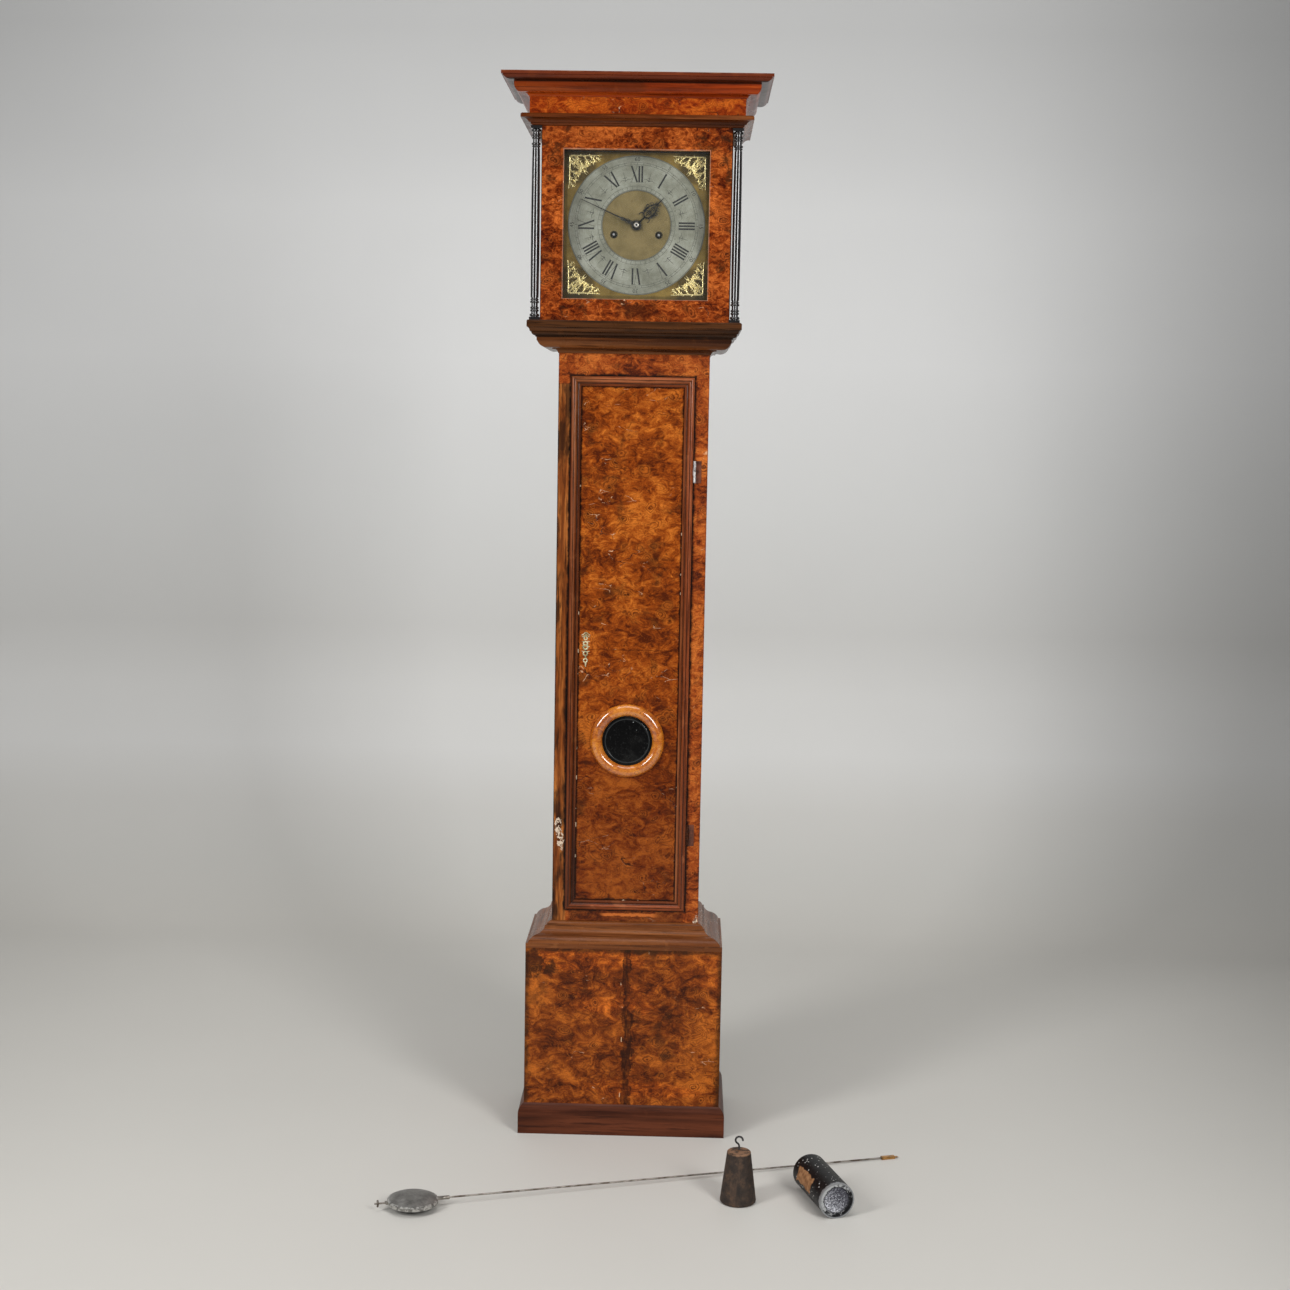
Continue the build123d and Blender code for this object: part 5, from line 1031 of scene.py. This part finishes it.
def add_spandrel(shape, right, up):
    """One corner: the half's ribbons and their mirror images, clear of the ring and the edge."""
    for swap in (False, True):
        def to_dial(point):
            first, second = (point[1], point[0]) if swap else point
            return (right * (corner_reach - first), up * (corner_reach - second))
        for stations in spandrel_scrolls():
            kept = []
            for station in stations:
                gap = ((corner_reach - station[0]) ** 2 + (corner_reach - station[1]) ** 2) ** 0.5
                if gap > ring_outer + ring_clearance and min(station[0], station[1]) > edge_clearance:
                    kept.append(station)
            if len(kept) > 2:
                add_ribbon(shape, kept, dial_front, spandrel_rise, domed, to_dial)


castings = Shape()
for right in (-1, 1):
    for up in (-1, 1):
        add_spandrel(castings, right, up)
castings.piece("spandrel_castings", cast_brass(), "case", "brass_cast", replaces="spandrels")


# Hands

def add_hand(name, node, body, angle, back, rise, curves, bars, hub):
    """A pierced hand, drawn along +x and turned to its angle clockwise from twelve.

    curves are scrolls mirrored across the hand's own line, bars lie along that line as (start,
    length, half_start, half_end, steps), and hub is its inner and outer radius, all in mm.
    """
    turn = radians(90 - angle)

    def transform(point):
        return (point[0] * cos(turn) - point[1] * sin(turn), point[0] * sin(turn) + point[1] * cos(turn))

    shape = Shape()
    for (x, z), heading, length, bend_start, bend_end, half_start, half_end in curves:
        for side in (1, -1):
            stations = scroll((x, side * z), side * heading, length, side * bend_start, side * bend_end,
                              half_start, half_end)
            add_ribbon(shape, stations, back, rise, flat, transform)
    for start, length, half_start, half_end, steps in bars:
        stations = scroll((start, 0), 0, length, 0, 0, half_start, half_end, steps)
        add_ribbon(shape, stations, back, rise, flat, transform)
    inner, outer = hub
    rows = ((inner, 0), (inner, rise), (outer - 0.5, rise), (outer, 0.6 * rise), (outer, 0))
    add_turning(shape, rows, 32, back)
    shape.piece(name, hand_steel, body, "blued_steel", angle=40, replaces=node)


hand_steel = dark_steel()
hour_front, hour_back = (corner.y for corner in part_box("hour_hand"))
minute_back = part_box("minute_hand")[1].y
minute_rise = 1.2
hour_curves = (
    ((8, 0), 0, 14, 0, 0, 1.9, 1.3),
    ((21, 0.6), 62, 20, -0.05, -0.1, 1.1, 0.9),
    ((21, 1), 24, 18, 0.1, 0.3, 1.1, 0.7),
    ((28, 9.5), 10, 26, -0.035, -0.028, 1.1, 0.8),
    ((27, 8.5), -50, 15, 0.14, 0.3, 0.9, 0.6),
    ((34, 10.2), -70, 17, 0.16, 0.32, 0.9, 0.6),
    ((38, 9), 120, 9, -0.3, -0.5, 0.8, 0.5),
    ((43, 7.8), -60, 13, 0.12, 0.36, 0.9, 0.5),
    ((30, 2.2), 30, 16, -0.16, -0.34, 0.8, 0.5),
    ((40, 2), 36, 12, -0.14, -0.4, 0.8, 0.5),
    ((47, 6.4), 130, 7, -0.3, -0.5, 0.8, 0.4),
    ((52, 4.2), -40, 9, 0.16, 0.3, 0.9, 0.5),
)
minute_curves = (
    ((7, 1), 40, 15, -0.08, -0.22, 0.9, 0.5),
    ((14, 0.8), 70, 13, -0.16, -0.36, 0.8, 0.5),
    ((24, 0.8), 50, 12, -0.14, -0.4, 0.8, 0.5),
    ((26, 0.8), 130, 9, 0.2, 0.44, 0.7, 0.5),
)
add_hand("hour_hand_pierced", "hour_hand", "hour_train", 45, hour_back, (hour_back - hour_front) / mm,
         hour_curves, ((22, 33, 0.7, 0.7, 4), (52, 20, 2.1, 0.35, 4)), (4.55, 9))
add_hand("minute_hand_scrolled", "minute_hand", "minute_train", 294, minute_back, minute_rise,
         minute_curves, ((6, 108, 1.5, 0.45, 10),), (3.05, 7))
collet = Shape()
collet_rows = ((1.85, 0), (1.85, 2.4), (3.6, 2.9), (5, 2.2), (5.8, 1.1), (5.8, 0))
add_turning(collet, collet_rows, 32, minute_back - minute_rise * mm)
collet.piece("hand_collet", highlit_collet_steel(), "minute_train", "steel")


# Escutcheon: pierced plate with leaf tips, loops and a keyhole

relief = Shape()
relief_parts = []
for height, radius, half in ((22, 3.2, 1.3), (11, 3.9, 1.7), (4.5, 4.2, 1.7), (-8, 3.9, 1.5),
                             (-21.5, 3.5, 1.4)):
    relief_parts.append(scroll((0, height - radius), 0, tau * radius, 1 / radius, 1 / radius, half, half, 20))
for side in (1, -1):
    for x, z, lean, length, bend_start, bend_end, half_start, half_end, steps in (
            (0.4, 33.5, 136, 9.5, 0.02, 0.05, 1.3, 1, 8),
            (0.4, 28.5, 128, 8.5, 0.02, 0.05, 1.3, 0.7, 8),
            (3.4, 15.5, 84, 5, -0.05, -0.2, 1.2, 0.4, 6),
            (4.4, 6, 92, 3.6, -0.05, -0.2, 1.3, 0.4, 6),
            (3.2, -4, 100, 5, 0.1, 0.3, 1.3, 0.4, 6)):
        relief_parts.append(scroll((side * x, z), 90 - side * lean, length, side * bend_start,
                                   side * bend_end, half_start, half_end, steps))
for z, heading, length, half_start, half_end in ((25.5, 90, 8, 1.2, 0.7), (-12.4, -90, 5.4, 1.7, 1.4),
                                                 (-25.4, -90, 8.4, 2.2, 0.9)):
    relief_parts.append(scroll((0, z), heading, length, 0, 0, half_start, half_end, 4))
for stations in relief_parts:
    add_ribbon(relief, stations, plate_high.y, (plate_high.y - plate_low.y) / mm, origin=plate_centre)
relief.piece("escutcheon_pierced", plain_metal("pale_brass", (226, 216, 178), (128, 122, 84), 0.36, 0.5),
             "trunk_door", "brass_cast", replaces="escutcheon")


# Wing nut under the bob

nut_low, nut_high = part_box("rating_nut")
nut_centre = (nut_low + nut_high) / 2
rod_turn = radians(18.3)
rod_line = Vector((cos(rod_turn), sin(rod_turn), 0))
rod_side = Vector((-sin(rod_turn), cos(rod_turn), 0))


def nut_point(along, across, up):
    """A point by its distances from the nut's centre, in mm."""
    place = nut_centre + (rod_line * along + rod_side * across) * mm
    return (place.x, place.y, place.z + up * mm)


nut = Shape()
collar_rows = ((-1.7, 1.75), (-1.7, 2.9), (-1.2, 3.4), (1.2, 3.4), (1.7, 2.9), (1.7, 1.75))
wing_rows = ((2.8, 0, 1.5, 1), (4.4, -0.2, 1.9, 0.8), (5.8, -0.3, 1.8, 0.7), (6.6, -0.2, 1.2, 0.6),
             (6.9, 0, 0.4, 0.3))
collar = []
for number in range(25):
    turn = tau * number / 24
    collar.append([nut_point(along, radius * cos(turn), radius * sin(turn)) for along, radius in collar_rows])
nut.loft(collar, caps=False)
for side in (1, -1):
    wing = []
    for reach, lean, wide, deep in wing_rows:
        wing.append([nut_point(lean + wide * cos(tau * step / 12), deep * sin(tau * step / 12), side * reach)
                     for step in range(12)])
    nut.loft(wing)
nut.piece("rating_wing_nut", dull_steel, "rating_nut", "steel", replaces="rating_nut")


# Studio: one sheet that is floor, cove and wall

def studio_sheet():
    """Pale floor that curves up into a wall behind the clock, see-through from behind, with painted bands of
    light by height and painted shade towards both sides.
    """
    cove_start = 1.27
    cove_radius = 0.75
    cove_steps = 24
    wall_top = 5.5
    half = 9
    profile = [(-12, 0), (-3, 0), (0, 0)]
    for number in range(cove_steps + 1):
        turn = pi / 2 * number / cove_steps
        profile.append((cove_start + cove_radius * sin(turn), cove_radius * (1 - cos(turn))))
    profile.append((cove_start + cove_radius, wall_top))
    points = [(x, y, z) for y, z in profile for x in (-half, half)]
    faces = [(2 * row, 2 * row + 1, 2 * row + 3, 2 * row + 2) for row in range(len(profile) - 1)]
    mesh = bpy.data.meshes.new("studio_sheet")
    mesh.from_pydata(points, [], faces)
    mesh.shade_smooth()
    sheet = bpy.data.objects.new("studio_sheet", mesh)
    bpy.context.scene.collection.objects.link(sheet)
    f = Finish("studio_paper")
    # painted light: lighter and darker bands by height over the floor, cove and wall
    wall = f.ramp(f.math("DIVIDE", f.z, 2.6),
                  (0.004, (217, 214, 207)), (0.044, (217, 215, 209)), (0.1, (221, 219, 214)),
                  (0.16, (232, 231, 228)), (0.225, (231, 230, 227)), (0.3, (222, 221, 218)),
                  (0.44, (231, 231, 229)), (0.61, (239, 239, 238)), (0.78, (232, 232, 231)),
                  (0.85, (222, 222, 221)), (0.98, (207, 207, 206)))
    # painted shade towards both sides, darker on the right
    painted_side_shade = f.plus(f.times(f.step(f.x, 0.7, 2.2), 0.44), f.times(f.step(f.x, -0.9, -2.1), 0.16))
    colour = f.mix(painted_side_shade, wall, (20, 20, 20))
    colour = f.tint(colour, ((150, 150, 148), f.noise(3), 0.06))
    f.feed(f.shader.inputs["Alpha"], f.minus(1, f.node("NewGeometry", {}, "Backfacing")))
    mesh.materials.append(f.done(colour, 0.7, f.noise(300), 0.0002, 0.2))


def softbox(name, place, target, width, height, power):
    """A rectangular soft lamp aimed at a point."""
    lamp = bpy.data.lights.new(name, "AREA")
    lamp.shape = "RECTANGLE"
    lamp.size = width
    lamp.size_y = height
    lamp.energy = power
    holder = bpy.data.objects.new(name, lamp)
    holder.location = place
    aim = Vector(target) - Vector(place)
    holder.rotation_euler = aim.to_track_quat("-Z", "Y").to_euler()
    bpy.context.scene.collection.objects.link(holder)


def set_camera():
    """The photograph's viewpoint."""
    forward = Vector((sin(camera_yaw) * cos(camera_pitch), cos(camera_yaw) * cos(camera_pitch),
                      -sin(camera_pitch)))
    level = Vector((cos(camera_yaw), -sin(camera_yaw), 0))
    upward = level.cross(forward)
    across = level * cos(camera_roll) + upward * sin(camera_roll)
    rise = upward * cos(camera_roll) - level * sin(camera_roll)
    turn = Matrix((across, rise, -forward)).transposed()
    data = bpy.data.cameras.new("photo_view")
    data.lens = camera_lens
    data.sensor_width = 36
    data.clip_start = 0.05
    data.clip_end = 40
    camera = bpy.data.objects.new("photo_view", data)
    camera.matrix_world = Matrix.Translation(camera_place) @ turn.to_4x4()
    bpy.context.scene.collection.objects.link(camera)
    bpy.context.scene.camera = camera


studio_sheet()
set_camera()
softbox("left_softbox", (-2.5, -2.6, 2.3), (0, 0, 1), 0.9, 1.7, 66)
softbox("right_softbox", (1.9, -3, 2.2), (0, 0, 1.1), 0.9, 1.7, 64)
softbox("top_softbox", (0, -0.8, 4.2), (0, 0.3, 0), 2.6, 2, 40)

world = bpy.data.worlds.new("studio_world")
world.use_nodes = True
sky = world.node_tree.nodes["Background"]
sky.inputs["Color"].default_value = (0.9, 0.92, 0.95, 1)
sky.inputs["Strength"].default_value = 0.2
bpy.context.scene.world = world
bpy.context.scene.view_settings.view_transform = "Standard"
